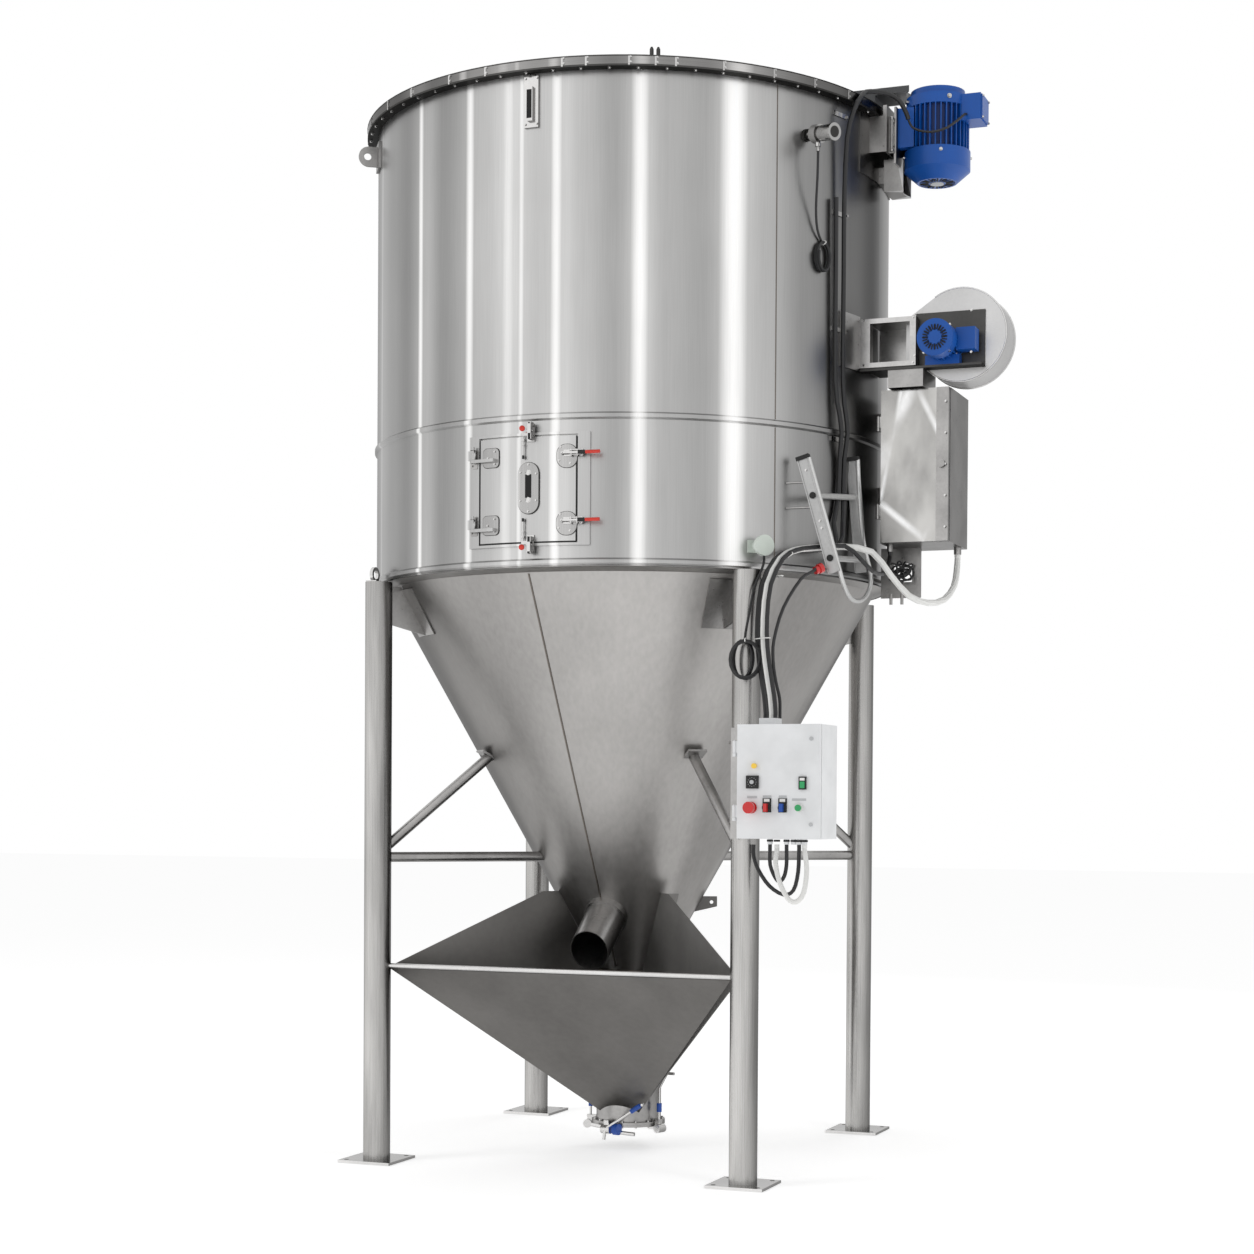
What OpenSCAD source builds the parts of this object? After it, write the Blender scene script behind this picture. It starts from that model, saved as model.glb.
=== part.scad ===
// Vertical mixer: a round stainless drum with a conical bottom on four tube
// legs, an intake hopper at the front, a belt-driven motor under the lid's
// edge, a warm-air blower with its heater cabinet, and a control box.
// Millimetres. Origin on the floor under the drum's axis, +Z up, front is -Y.

/* [Drum] */
// Outer radius of the drum
shell_r = 1000; // [500:1:2000]
// Wall thickness of the drum sheet
shell_t = 4; // [2:0.5:10]
// Height of the drum's lower edge above the floor
shell_z0 = 2190; // [1000:1:4000]
// Height of the drum itself
shell_h = 1735; // [800:1:4000]
// Height of the middle swaged ring above the drum's lower edge
bead_up = 524; // [100:1:2000]
// How far a swaged ring stands out of the sheet
bead_h = 9; // [3:1:20]
// Height of the band that a swaged ring takes up
bead_w = 26; // [10:1:60]

/* [Lid] */
// Width of the bolted flange round the drum's mouth
flange_w = 42; // [20:1:80]
// Thickness of the flange
flange_t = 6; // [3:1:15]
// Thickness of the lid's sheet
lid_t = 4; // [2:0.5:10]
// Height of the lid's turned-down edge
lid_skirt = 30; // [10:1:60]
// Width of the belt guard across the lid
guard_w = 150; // [80:1:400]
// Height of the belt guard
guard_h = 84; // [40:1:200]
// Height of the guard's thin nose beyond the drum, up to the motor
guard_nose_h = 24; // [12:1:80]
// Radius of the guard's round end over the drum's axis
guard_r = 150; // [80:1:400]

/* [Cone] */
// How much smaller than the drum the cone starts
cone_step = 50; // [10:1:200]
// How far below the drum's edge the cone proper starts
cone_knuckle = 16; // [5:1:60]
// Radius of the cone at its lower end, and of the foot tube
cone_r0 = 128; // [60:1:300]
// Height of the cone's lower end
cone_z0 = 699; // [300:1:1500]
// Wall thickness of the cone
cone_t = 4; // [2:0.5:10]

/* [Foot] */
// Height of the foot tube's lower end
foot_z0 = 106; // [60:1:300]
// Wall thickness of the foot tube
foot_t = 5; // [3:0.5:12]
// How far the foot's flange ring stands out of the tube
foot_flange_w = 16; // [8:1:60]
// Thickness of the foot's flange ring
foot_flange_t = 10; // [5:1:25]
// Thickness of the clean-out cover
cleanout_t = 8; // [4:1:20]
// Height of the bottom of the intake opening in the foot tube
intake_z0 = 190; // [150:1:400]
// Height of the top of the intake opening in the foot tube
intake_z1 = 640; // [300:1:690]

/* [Hopper] */
// Height of the hopper's front rim
hopper_z = 730; // [400:1:1500]
// Height of the side walls where they meet the cone
hopper_top_z = 1011; // [500:1:2000]
// Distance from the axis at which a side wall's slanted top edge ends
hopper_top_r = 368; // [200:1:900]
// Thickness of the hopper sheet
hopper_t = 3; // [1.5:0.5:8]
// Diameter of the rod along the front rim
rim_rod_d = 18; // [8:1:40]
// Height at which the front wall meets the foot tube
hopper_foot_z = 169; // [120:1:400]
// Half width of the front wall's lower end
hopper_foot_half = 80; // [30:1:200]
// Width of the strip along a side wall's inner edge
hopper_strip_w = 46; // [20:1:90]

/* [Legs] */
// How far outside the drum's surface a leg's axis stands
leg_out = 35.2; // [20:0.1:200]
// Outer diameter of a leg tube
leg_d = 101.6; // [60:0.1:200]
// Wall thickness of a leg tube
leg_t = 3; // [2:0.5:8]
// How far below the drum's edge a leg ends
leg_drop = 10; // [5:1:100]
// Side of a square foot plate
plate_w = 215; // [120:1:400]
// Thickness of a foot plate
plate_t = 10; // [6:1:30]
// Distance between the holes of a foot plate
plate_pitch = 165; // [80:1:340]
// Diameter of the holes in a foot plate
plate_hole_d = 18; // [8:1:30]

/* [Braces] */
// Outer diameter of a brace tube
brace_d = 38; // [20:1:80]
// Wall thickness of a brace tube
brace_t = 2.5; // [1.5:0.5:6]
// Height of the level braces
brace_z = 1146; // [600:1:2000]
// Height at which a slanted brace leaves the leg
slant_z0 = 1200; // [600:1:2000]
// Height at which a slanted brace meets the cone
slant_z1 = 1535; // [700:1:2500]
// Side of the pad that joins a slanted brace to the cone
pad_w = 76; // [40:1:150]
// Height of the saddle plate under the drum's edge at each leg
saddle_h = 180; // [60:1:400]
// Half angle of a saddle plate, seen from the drum's axis
saddle_a = 6; // [3:0.1:12]
// Thickness of a saddle plate
saddle_t = 6; // [3:0.5:12]

/* [Spout] */
// Outer diameter of the discharge spout
spout_d = 154; // [80:1:300]
// Wall thickness of the spout
spout_t = 3; // [2:0.5:8]
// Slope of the spout below the level
spout_tilt = 38; // [10:1:80]
// Height at which the spout's axis meets the cone
spout_z = 919; // [750:1:1500]
// Length of the spout along its axis in front of the cone
spout_len = 203; // [80:1:500]

/* [Hatch] */
// Height of the hatch's centre above the drum's lower edge
hatch_up = 269; // [150:1:1200]
// Height of the hatch opening in the drum
hatch_hole_h = 320; // [100:1:600]
// Half angle of the hatch opening in the drum
hatch_hole_a = 9; // [3:0.1:25]
// How much higher and lower than the opening the door reaches
hatch_lap = 24; // [10:1:60]
// Width of the frame beyond the door at top and bottom
hatch_rim = 9; // [5:1:60]
// Half angle that the door reaches beyond the opening
hatch_lap_a = 1.5; // [0.5:0.1:5]
// Angle that the frame reaches beyond the door on each side
hatch_rim_a = 2.9; // [0.5:0.1:8]
// Thickness of the hatch frame
hatch_frame_t = 11; // [5:1:30]
// Thickness of the hatch door
hatch_door_t = 6; // [3:1:20]
// Width of the oval sight plate
sight_w = 78; // [40:1:150]
// Length of the oval sight plate
sight_h = 196; // [80:1:300]

/* [Main motor] */
// Distance of the motor's axis outside the drum
motor_out = 223; // [180:1:600]
// How far below the drum's upper edge the motor ends
motor_drop = 240; // [100:1:800]
// Diameter of the motor's fan cowl
motor_cowl_d = 246; // [120:1:500]
// Length of the fan cowl with its slanted end
motor_cowl_h = 112; // [60:1:300]
// Length of the finned body
motor_fin_h = 158; // [80:1:400]
// Length of the drive end above the fins
motor_end_h = 66; // [30:1:120]
// Number of cooling fins
motor_fins = 36; // [12:1:60]

/* [Blower] */
// Distance of the fan's axis outside the drum
fan_out = 298; // [200:1:800]
// Height of the fan's axis above the heater cabinet
fan_up = 152; // [100:1:400]
// Radius of the scroll housing at its widest
scroll_r = 172; // [80:1:400]
// Depth of the scroll housing along the fan axis
scroll_w = 150; // [60:1:300]
// Outer width of the open frame beside the blower
window_w = 214; // [120:1:500]
// Outer height of the open frame
window_h = 180; // [100:1:400]
// Height of the upper and lower bars of the open frame
window_bar = 18; // [8:1:60]
// Diameter of the blower motor's cowl
fan_motor_d = 134; // [80:1:250]
// Length of the blower motor
fan_motor_l = 164; // [80:1:300]

/* [Heater cabinet] */
// Gap between the drum and the cabinet at the nearest point
cab_gap = 52; // [20:1:300]
// Width of the cabinet
cab_w = 264; // [150:1:600]
// Depth of the cabinet
cab_d = 280; // [100:1:600]
// Height of the cabinet's bottom above the drum's lower edge
cab_up = 138; // [0:1:1000]
// Height of the cabinet
cab_h = 566; // [250:1:1200]
// Width of the raised hem beside the lock
cab_hem = 46; // [20:1:120]
// Thickness of the cabinet door
cab_door_t = 14; // [6:1:40]
// Wall thickness of the cabinet
cab_t = 2; // [1:0.5:5]

/* [Control box] */
// Gap between the leg and the box, seen from the front
box_gap = 5.2; // [2:0.1:100]
// Width of the control box
box_w = 300; // [200:1:600]
// Height of the control box
box_h = 390; // [250:1:800]
// Depth of the control box without its door
box_d = 178; // [100:1:400]
// Height of the control box's bottom
box_z = 1236; // [800:1:1800]
// Thickness of the control box's door
box_door_t = 18; // [10:1:40]
// Wall thickness of the control box
box_t = 2; // [1:0.5:5]
// Thickness of the rails between the leg and the box
rail_depth = 18; // [8:1:40]

/* [Ladder end] */
// Depth of a ladder side rail
side_w = 44; // [30:1:100]
// Thickness of a ladder side rail
side_t = 20; // [15:1:50]
// Distance between the middles of the side rails
side_gap = 325; // [100:1:600]
// Height of the ladder's lower end above the drum's lower edge
side_low = -10; // [-200:1:200]
// Length of ladder that is shown, measured upright
side_l = 410; // [200:1:1500]
// Diameter of a rung
rung_d = 28; // [16:1:50]

/* [Cables] */
// Diameter of the thick black cables
cable_d = 18; // [6:1:40]
// Diameter of the white cable sheath
sheath_d = 24; // [6:1:40]
// Diameter of the thin sensor cables
thin_d = 9; // [3:1:20]

/* [Hidden] */
// Seat gap between touching pieces, clear gap of moving pieces, smoothness.
eps = 0.3;
clear = 5;
fine = 64;
shell_z1 = shell_z0 + shell_h;
bead_z = shell_z0 + bead_up;
cone_r1 = shell_r - cone_step;
cone_z1 = shell_z0 - cone_knuckle;
cone_k = (cone_r1 - cone_r0) / (cone_z1 - cone_z0);
function cone_r(z) = cone_r0 + cone_k * (z - cone_z0);
function at_r(r, a) = [r * cos(a), r * sin(a)];
leg_r = shell_r + leg_out;
leg_xy = leg_r / sqrt(2);
leg_in = leg_r - leg_d / 2;
leg_top = shell_z0 - leg_drop;
cone_slope = atan(1 / cone_k);
hatch_z = shell_z0 + hatch_up;
hatch_door_h = hatch_hole_h + 2 * hatch_lap;
hatch_door_a = hatch_hole_a + hatch_lap_a;
hatch_frame_h = hatch_door_h + 2 * (clear + 1 + hatch_rim);
hatch_frame_a = hatch_door_a + hatch_rim_a;
hatch_slot_a = hatch_door_a + 0.4;
hatch_slot_h = hatch_door_h + 2 * (clear + 1);
motor_x = shell_r + motor_out;
motor_z0 = shell_z1 - motor_drop;
motor_fin_d = motor_cowl_d - 10;
fin_z0 = motor_z0 + motor_cowl_h;
fin_z1 = fin_z0 + motor_fin_h;
cab_x = shell_r + cab_gap;
cab_z = shell_z0 + cab_up;
cab_y = -cab_d / 2;
fan_x = shell_r + fan_out;
fan_z = cab_z + cab_h + fan_up;
box_x = leg_xy + leg_d / 2 + box_gap;
box_y1 = -leg_xy - leg_d / 2 - rail_depth - 2 * eps;
box_y0 = box_y1 - box_d;
box_top = box_z + box_h;

// A sector prism from the axis, used to cut arcs out of rings.
module wedge(a0, a1, z0, z1, r) {
  q = (a1 - a0) / 4;
  k = r / cos(q);
  translate([0, 0, z0])
    linear_extrude(z1 - z0)
      polygon([[0, 0], at_r(r, a0), at_r(k, a0 + q), at_r(k, a0 + 2 * q), at_r(k, a1 - q), at_r(r, a1)]);
}

// A curved plate on the drum between two radii, angles and heights.
module arc_plate(r0, r1, a0, a1, z0, z1) {
  intersection() {
    translate([0, 0, z0])
      difference() {
        cylinder(r = r1, h = z1 - z0, $fn = 128);
        translate([0, 0, -1])
          cylinder(r = r0, h = z1 - z0 + 2, $fn = 128);
      }
    wedge(a0, a1, z0 - 1, z1 + 1, r1 * 1.3);
  }
}

// The inside of a tall cylinder on the drum's axis, for cutting seats.
module drum_core(r) {
  cylinder(r = r, h = 5000, $fn = 360);
}

// A round bar between two points.
module bar(p, q, d) {
  v = q - p;
  l = norm(v);
  translate(p)
    rotate([0, acos(v[2] / l), atan2(v[1], v[0])])
      cylinder(d = d, h = l, $fn = 32);
}

// A straight tube between two points.
module pipe(p, q, d, t) {
  v = q - p;
  l = norm(v);
  translate(p)
    rotate([0, acos(v[2] / l), atan2(v[1], v[0])])
      difference() {
        cylinder(d = d, h = l, $fn = 32);
        translate([0, 0, -1])
          cylinder(d = d - 2 * t, h = l + 2, $fn = 32);
      }
}

// A bent round bar through a list of points, with a weld bead at each bend.
module bent_bar(p, d) {
  for (i = [0:len(p) - 2])
    bar(p[i], p[i + 1], d);
  for (i = [1:len(p) - 2])
    translate(p[i])
      sphere(d = d + 1, $fn = 32);
}

// The cone's outer surface grown by a small gap, for cutting seats.
module cone_solid(gap) {
  rotate_extrude($fn = 96)
    polygon([[0, cone_z0 - 60], [cone_r0 + gap, cone_z0 - 60], [cone_r0 + gap, cone_z0],
      [cone_r1 + gap, cone_z1], [cone_r1 + gap, cone_z1 + 10], [0, cone_z1 + 10]]);
}

bead_edge = 7;
bead_mid = bead_w / 2;
bead_flat = bead_w / 4;

module drum_profile() {
  bead_r = shell_r + bead_h;
  polygon([[shell_r - shell_t, shell_z0], [shell_r, shell_z0], [bead_r, shell_z0 + bead_edge],
    [bead_r, shell_z0 + bead_w - bead_edge], [shell_r, shell_z0 + bead_w],
    [shell_r, bead_z - bead_mid], [bead_r, bead_z - bead_flat], [bead_r, bead_z + bead_flat],
      [shell_r, bead_z + bead_mid], [shell_r, shell_z1], [shell_r - shell_t, shell_z1]]);
}

// A window of half angle a and height h, cut through the sheet about the hatch's centre.
module hatch_window(a, h) {
  wedge(-90 - a, -90 + a, hatch_z - h / 2, hatch_z + h / 2, shell_r + 100);
}

// A curved plate of half angle a and height h about the hatch's centre.
module hatch_plate(r0, r1, a, h) {
  arc_plate(r0, r1, -90 - a, -90 + a, hatch_z - h / 2, hatch_z + h / 2);
}

// The drum is one rolled sheet with the hatch opening cut through it.
module drum_shell() {
  color("silver")
    difference() {
      rotate_extrude($fn = 128)
        drum_profile();
      hatch_window(hatch_hole_a, hatch_hole_h);
    }
}

module top_flange() {
  color("silver")
    translate([0, 0, shell_z1 - flange_t])
      difference() {
        cylinder(r = shell_r + flange_w, h = flange_t, $fn = 128);
        translate([0, 0, -1])
          cylinder(r = shell_r + eps, h = flange_t + 2, $fn = 128);
      }
}

// The lid is a flat disc with a turned-down edge that stands on the flange.
module lid() {
  color("silver")
    translate([0, 0, shell_z1 + eps])
      difference() {
        cylinder(r = shell_r + flange_w, h = lid_skirt - eps, $fn = 128);
        translate([0, 0, -1])
          cylinder(r = shell_r + flange_w - lid_t, h = lid_skirt - eps - lid_t + 1, $fn = 128);
      }
}

guard_z = shell_z1 + lid_skirt + eps;

// The belt guard runs over the lid from the drum's axis to the motor.
module belt_guard() {
  color("dimgray")
    translate([0, 0, guard_z])
      difference() {
        union() {
          cylinder(r = guard_r, h = guard_h, $fn = fine);
          translate([0, -guard_w / 2, 0])
            cube([motor_x - 40, guard_w, guard_h]);
        }
        translate([shell_r, -guard_w / 2 - 1, -1])
          cube([motor_x - shell_r, guard_w + 2, guard_h - guard_nose_h + 1]);
        translate([motor_x, 0, -1])
          cylinder(d = motor_fin_d + 2 * eps, h = guard_h + 2, $fn = fine);
      }
}

cone_cut = cone_t * 1.14;

module cone_shell_profile() {
  polygon([[shell_r - 0.2, shell_z0 - eps], [cone_r1, cone_z1], [cone_r0, cone_z0],
    [cone_r0 - cone_cut, cone_z0],
    [cone_r1 - cone_cut, cone_z1 + 1.5], [shell_r - 8, shell_z0 - eps]]);
}

spout_y = -cone_r(spout_z);
lug_z0 = 927;
lug_z1 = 989;
lug_out = 345;
lug_turn = 20;

// The cone with the spout's hole and a welded lug on its right.
module cone() {
  color("silver") {
    difference() {
      rotate_extrude($fn = 96)
        cone_shell_profile();
      translate([0, spout_y, spout_z])
        rotate([90 + spout_tilt, 0, 0])
          translate([0, 0, -200])
            cylinder(d = spout_d - 2 * spout_t, h = 400, $fn = 48);
    }
    rotate([0, 0, lug_turn])
      rotate([90, 0, 0])
        translate([0, 0, -4])
          linear_extrude(8)
            difference() {
              polygon([[cone_r(lug_z0) - 2, lug_z0], [lug_out, lug_z0 + 22], [lug_out, lug_z1],
                [cone_r(lug_z1) - 2, lug_z1]]);
              translate([lug_out - 22, (lug_z0 + lug_z1) / 2 + 8])
                circle(d = 14, $fn = 32);
            }
  }
}

intake_half = 88;
foot_flange_r = cone_r0 + foot_flange_w;

// The foot tube with its flange ring at the bottom and the intake at the front.
module foot_tube() {
  color("silver")
    difference() {
      union() {
        translate([0, 0, foot_z0 - foot_flange_t])
          cylinder(r = foot_flange_r, h = foot_flange_t, $fn = fine);
        translate([0, 0, foot_z0 - 1])
          cylinder(r = cone_r0, h = cone_z0 - foot_z0 + 1 - eps, $fn = fine);
      }
      translate([0, 0, foot_z0 - foot_flange_t - 1])
        cylinder(r = cone_r0 - foot_t, h = cone_z0 - foot_z0 + foot_flange_t + 2, $fn = fine);
      translate([-intake_half, -200, intake_z0])
        cube([2 * intake_half, 200, intake_z1 - intake_z0]);
    }
}

cover_z = foot_z0 - foot_flange_t - eps;
cover_hub_d = 92;
cover_hub_h = 14;

// The clean-out cover closes the flange from below.
module cleanout_cover() {
  color("silver") {
    translate([0, 0, cover_z - cleanout_t])
      cylinder(r = foot_flange_r, h = cleanout_t, $fn = fine);
    translate([0, 0, cover_z - cleanout_t - cover_hub_h])
      cylinder(d = cover_hub_d, h = cover_hub_h + 1, $fn = fine);
  }
}

cover_low = cover_z - cleanout_t - eps;
flange_top = foot_z0 + eps;

hook_w = 22;
hook_t = 10;
hook_low = 12;
hook_clear = 3;
roller_d = 34;

// One clamp grips flange and cover: jaw over the ring, hub outside, jaw below.
module clamp_body() {
  translate([cone_r0 + 2, -hook_w / 2, flange_top])
    cube([foot_flange_w + hook_w, hook_w, hook_t]);
  translate([foot_flange_r + hook_clear, -hook_w / 2, cover_low - hook_low])
    cube([19, hook_w, flange_top + hook_t - cover_low + hook_low]);
  translate([foot_flange_r - 30, -hook_w / 2, cover_low - hook_low])
    cube([34, hook_w, hook_low]);
  translate([foot_flange_r + hook_clear + roller_d / 2, 0, cover_low - hook_low / 2])
    rotate([90, 0, 0])
      cylinder(d = roller_d, h = 40, center = true, $fn = 32);
}

clamp_turns = [-100, -20, -170];
rod_x = 152;
rod_y = -58;
rod_low = 82;
rod_top = 238;
rod_d = 9;
pin_x = -152;
pin_y = -27;
grip_z = 150;
grip_l = 30;
knob_d = 44;
knob_w = 22;

// Three clamps with their levers; the front one carries the long lever.
module cleanout_clamps() {
  color("silver") {
    for (a = clamp_turns)
      rotate([0, 0, a])
        clamp_body();
    bar([-27, -172, 84], [126, -182, 188], 12);
    bar([-30, -172, 84], [-34, -176, 42], 13);
    bar([126, -182, 188], [134, -182, 188], 16);
    bar([6, -158, 72], [88, -158, 67], 15);
    bar([-34, -154, 86], [-104, -128, 91], 14);
    bar([rod_x, rod_y, rod_low], [rod_x, rod_y, rod_top], rod_d);
    bar([rod_x, rod_y, rod_top], [190, -70, 301], rod_d);
    bar([176, -70, 301], [222, -80, 301], 12);
    bar([pin_x, pin_y, rod_low], [pin_x, pin_y, grip_z], rod_d);
  }
  color("royalblue") {
    bar([82, -180, 158], [120, -182, 184], 18);
    translate([18, -171, 84])
      rotate([0, 90, -10])
        cylinder(d = knob_d, h = knob_w, center = true, $fn = 32);
    bar([rod_x, rod_y, grip_z - 4], [rod_x, rod_y, grip_z + grip_l], 20);
    bar([pin_x, pin_y, grip_z], [pin_x, pin_y, grip_z + grip_l], 18);
  }
}

// The slope of the front wall from the rim down to the foot tube.
front_dy = leg_xy - cone_r0 * 0.98;
front_dz = hopper_z - hopper_foot_z;
front_a = atan(front_dz / front_dy);
front_len = norm([front_dy, front_dz]);
rim_half = leg_xy - leg_d / 2 - eps;
rim_lift = 8;
front_start = rim_rod_d / 2 + eps - rim_lift * sin(front_a) + 0.2;
front_half = rim_half - 1;

module hopper_front() {
  color("silver")
    difference() {
      translate([0, -leg_xy, hopper_z])
        rotate([-front_a, 0, 0])
          linear_extrude(hopper_t)
            polygon([[-front_half, front_start], [front_half, front_start],
              [hopper_foot_half, front_len + 40], [-hopper_foot_half, front_len + 40]]);
      translate([0, 0, 50])
        cylinder(r = cone_r0 + eps, h = 800, $fn = 96);
      translate([leg_xy, -leg_xy, 0])
        cylinder(d = leg_d + 2 * eps, h = 1200, $fn = 48);
      translate([-leg_xy, -leg_xy, 0])
        cylinder(d = leg_d + 2 * eps, h = 1200, $fn = 48);
    }
}

// A side wall stands on the radial plane through its front leg.
module hopper_side_flat() {
  edge = eps * 1.2;
  polygon([[leg_in - edge, hopper_z - 6], [leg_in - edge, hopper_z + 4], [hopper_top_r, hopper_top_z],
    [cone_r(hopper_top_z) + edge, hopper_top_z], [cone_r0 + edge, cone_z0 - 2],
    [cone_r0 + edge, hopper_foot_z + 12], [cone_r0 + 26, hopper_foot_z + 8]]);
}

strip_low_r = 188;
strip_low_z = 678;

module hopper_side(s) {
  a = s > 0 ? -45 : -135;
  color("silver")
    difference() {
      rotate([0, 0, a])
        rotate([90, 0, 0])
          union() {
            translate([0, 0, -hopper_t / 2])
              linear_extrude(hopper_t)
                hopper_side_flat();
            translate([0, 0, -s * hopper_strip_w / 2 - hopper_strip_w / 2])
              linear_extrude(hopper_strip_w)
                polygon([[hopper_top_r, hopper_top_z], [hopper_top_r - hopper_t, hopper_top_z],
                  [strip_low_r - hopper_t, strip_low_z], [strip_low_r, strip_low_z]]);
          }
      front_cut();
      translate([-leg_xy, -leg_xy, hopper_z + rim_lift])
        rotate([0, 90, 0])
          cylinder(d = rim_rod_d + 2 * eps, h = 2 * leg_xy, $fn = 32);
    }
}

// Everything below and in front of the front wall's inner face.
module front_cut() {
  translate([0, -leg_xy, hopper_z])
    rotate([-front_a, 0, 0])
      translate([-900, -300, hopper_t + eps - 500])
        cube([1800, 1500, 500]);
}

module hopper_left() {
  hopper_side(-1);
}

module hopper_right() {
  hopper_side(1);
}

// The rod along the front rim from leg to leg.
module hopper_rim() {
  color("silver")
    translate([-rim_half, -leg_xy, hopper_z + rim_lift])
      rotate([0, 90, 0])
        cylinder(d = rim_rod_d, h = 2 * rim_half, $fn = 32);
}

mouth_tilt = 20;
collar_l = 12;

// The spout with a collar on the cone and its mouth cut nearly upright.
module discharge_spout() {
  mouth = [0, spout_y - spout_len * cos(spout_tilt), spout_z - spout_len * sin(spout_tilt)];
  color("silver")
    difference() {
      translate([0, spout_y, spout_z])
        rotate([90 + spout_tilt, 0, 0])
          difference() {
            union() {
              translate([0, 0, -80])
                cylinder(d = spout_d, h = spout_len + 160, $fn = 48);
              translate([0, 0, -80])
                cylinder(d = spout_d + 16, h = 80 + collar_l, $fn = 48);
            }
            translate([0, 0, -90])
              cylinder(d = spout_d - 2 * spout_t, h = spout_len + 260, $fn = 48);
          }
      cone_solid(eps);
      translate(mouth)
        rotate([mouth_tilt, 0, 0])
          translate([-200, -400, -300])
            cube([400, 400, 600]);
    }
}

// A leg is a tube on a square plate with four holes and a closed top.
module leg(x, y) {
  color("silver")
    translate([x, y, 0])
      difference() {
        union() {
          translate([-plate_w / 2, -plate_w / 2, 0])
            cube([plate_w, plate_w, plate_t]);
          translate([0, 0, plate_t - 1])
            cylinder(d = leg_d, h = leg_top - plate_t + 1, $fn = 48);
        }
        translate([0, 0, plate_t + 2])
          cylinder(d = leg_d - 2 * leg_t, h = leg_top - plate_t - 8, $fn = 48);
        for (i = [-1, 1], j = [-1, 1])
          translate([i * plate_pitch / 2, j * plate_pitch / 2, -1])
            cylinder(d = plate_hole_d, h = plate_t + 2, $fn = 32);
      }
}

module leg_front_left() {
  leg(-leg_xy, -leg_xy);
}

module leg_front_right() {
  leg(leg_xy, -leg_xy);
}

module leg_rear_right() {
  leg(leg_xy, leg_xy);
}

module leg_rear_left() {
  leg(-leg_xy, leg_xy);
}

slant_pad_r = cone_r(slant_z1) + 4;
web_t = 8;
web_z1 = leg_top - 14;
web_z0 = web_z1 - saddle_h;
saddle_g = eps / cos(cone_slope) + 0.2;

// The web plate and the saddle that tie the top of one leg to the cone.
module leg_web(a) {
  rotate([0, 0, a])
    difference() {
      rotate([90, 0, 0])
        translate([0, 0, -web_t / 2])
          linear_extrude(web_t)
            polygon([[leg_in + 20, web_z1], [cone_r(web_z1) + 3, web_z1], [cone_r(web_z0) + 3, web_z0],
              [leg_in + 20, web_z0 + 40]]);
      translate([leg_r, 0, 0])
        cylinder(d = leg_d + 2 * eps, h = 3000, $fn = 48);
    }
  intersection() {
    rotate_extrude($fn = 96)
      polygon([[cone_r(web_z0) + saddle_g, web_z0], [cone_r(web_z0) + saddle_g + saddle_t, web_z0],
        [cone_r(web_z1 - 12) + saddle_g + saddle_t, web_z1 - 12],
        [cone_r(web_z1 - 12) + saddle_g, web_z1 - 12]]);
    wedge(a - saddle_a, a + saddle_a, web_z0 - 10, web_z1 + 10, 1400);
  }
}

module level_brace(a) {
  rotate([0, 0, a])
    difference() {
      pipe([leg_in + 12, 0, brace_z], [cone_r(brace_z) - 40, 0, brace_z], brace_d, brace_t);
      translate([leg_r, 0, 0])
        cylinder(d = leg_d + 2 * eps, h = 3000, $fn = 48);
      cone_solid(eps);
    }
}

module slanted_brace(a) {
  rotate([0, 0, a])
    difference() {
      union() {
        pipe([leg_in + 12, 0, slant_z0 - 10], [slant_pad_r - 10, 0, slant_z1], brace_d, brace_t);
        translate([slant_pad_r, 0, slant_z1])
          rotate([0, cone_slope + 90, 0])
            translate([-pad_w / 2, -pad_w / 2, -3])
              cube([pad_w, pad_w, 8]);
      }
      translate([leg_r, 0, 0])
        cylinder(d = leg_d + 2 * eps, h = 3000, $fn = 48);
      cone_solid(eps);
    }
}

module front_braces() {
  color("silver") {
    leg_web(-45);
    leg_web(-135);
    level_brace(-135);
    slanted_brace(-45);
    slanted_brace(-135);
  }
}

module rear_braces() {
  color("silver")
    for (a = [45, 135]) {
      leg_web(a);
      level_brace(a);
      slanted_brace(a);
    }
}

eye_d = 58;
eye_bar = 12;

// A ring on a small plate on top of a left leg, turned to face along the front.
module lifting_eye(x, y) {
  translate([x, y, leg_top + eps]) {
    translate([-22, -26, 0])
      cube([44, 52, 6]);
    translate([-4, 0, 5 + eye_d / 2 - 6])
      rotate([0, 90, 0])
        difference() {
          cylinder(d = eye_d, h = eye_bar, $fn = 32);
          translate([0, 0, -1])
            cylinder(d = eye_d - 2 * eye_bar, h = eye_bar + 2, $fn = 32);
          translate([eye_d / 2 - 5, -50, -1])
            cube([60, 100, eye_bar + 2]);
        }
  }
}

module lifting_eyes() {
  color("silver") {
    lifting_eye(-leg_xy - 20, -leg_xy);
    lifting_eye(-leg_xy - 20, leg_xy);
  }
}

hinge_a = -90 - 11.9;
hinge_r = shell_r + 24;
hinge_pin = at_r(hinge_r, hinge_a);
door_r0 = shell_r + clear + 0.4;
door_r1 = door_r0 + hatch_door_t;
hinge_rows = [-131, 115];
eye_h = 34;

// The frame round the hatch opening with the fixed hinge eyes.
module hatch_frame() {
  color("silver") {
    difference() {
      hatch_plate(shell_r + eps, shell_r + hatch_frame_t, hatch_frame_a, hatch_frame_h);
      hatch_window(hatch_slot_a, hatch_slot_h);
    }
    for (z = hinge_rows)
      translate([hinge_pin[0], hinge_pin[1], hatch_z + z])
        difference() {
          union() {
            cylinder(d = 20, h = eye_h, $fn = 32);
            rotate([0, 0, hinge_a])
              translate([-14, -30, 0])
                cube([8, 30, eye_h]);
          }
          translate([0, 0, -1])
            cylinder(d = 10.4, h = eye_h + 2, $fn = 32);
        }
  }
}

strap_h = 11.5;
strap_l = 92;

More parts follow.
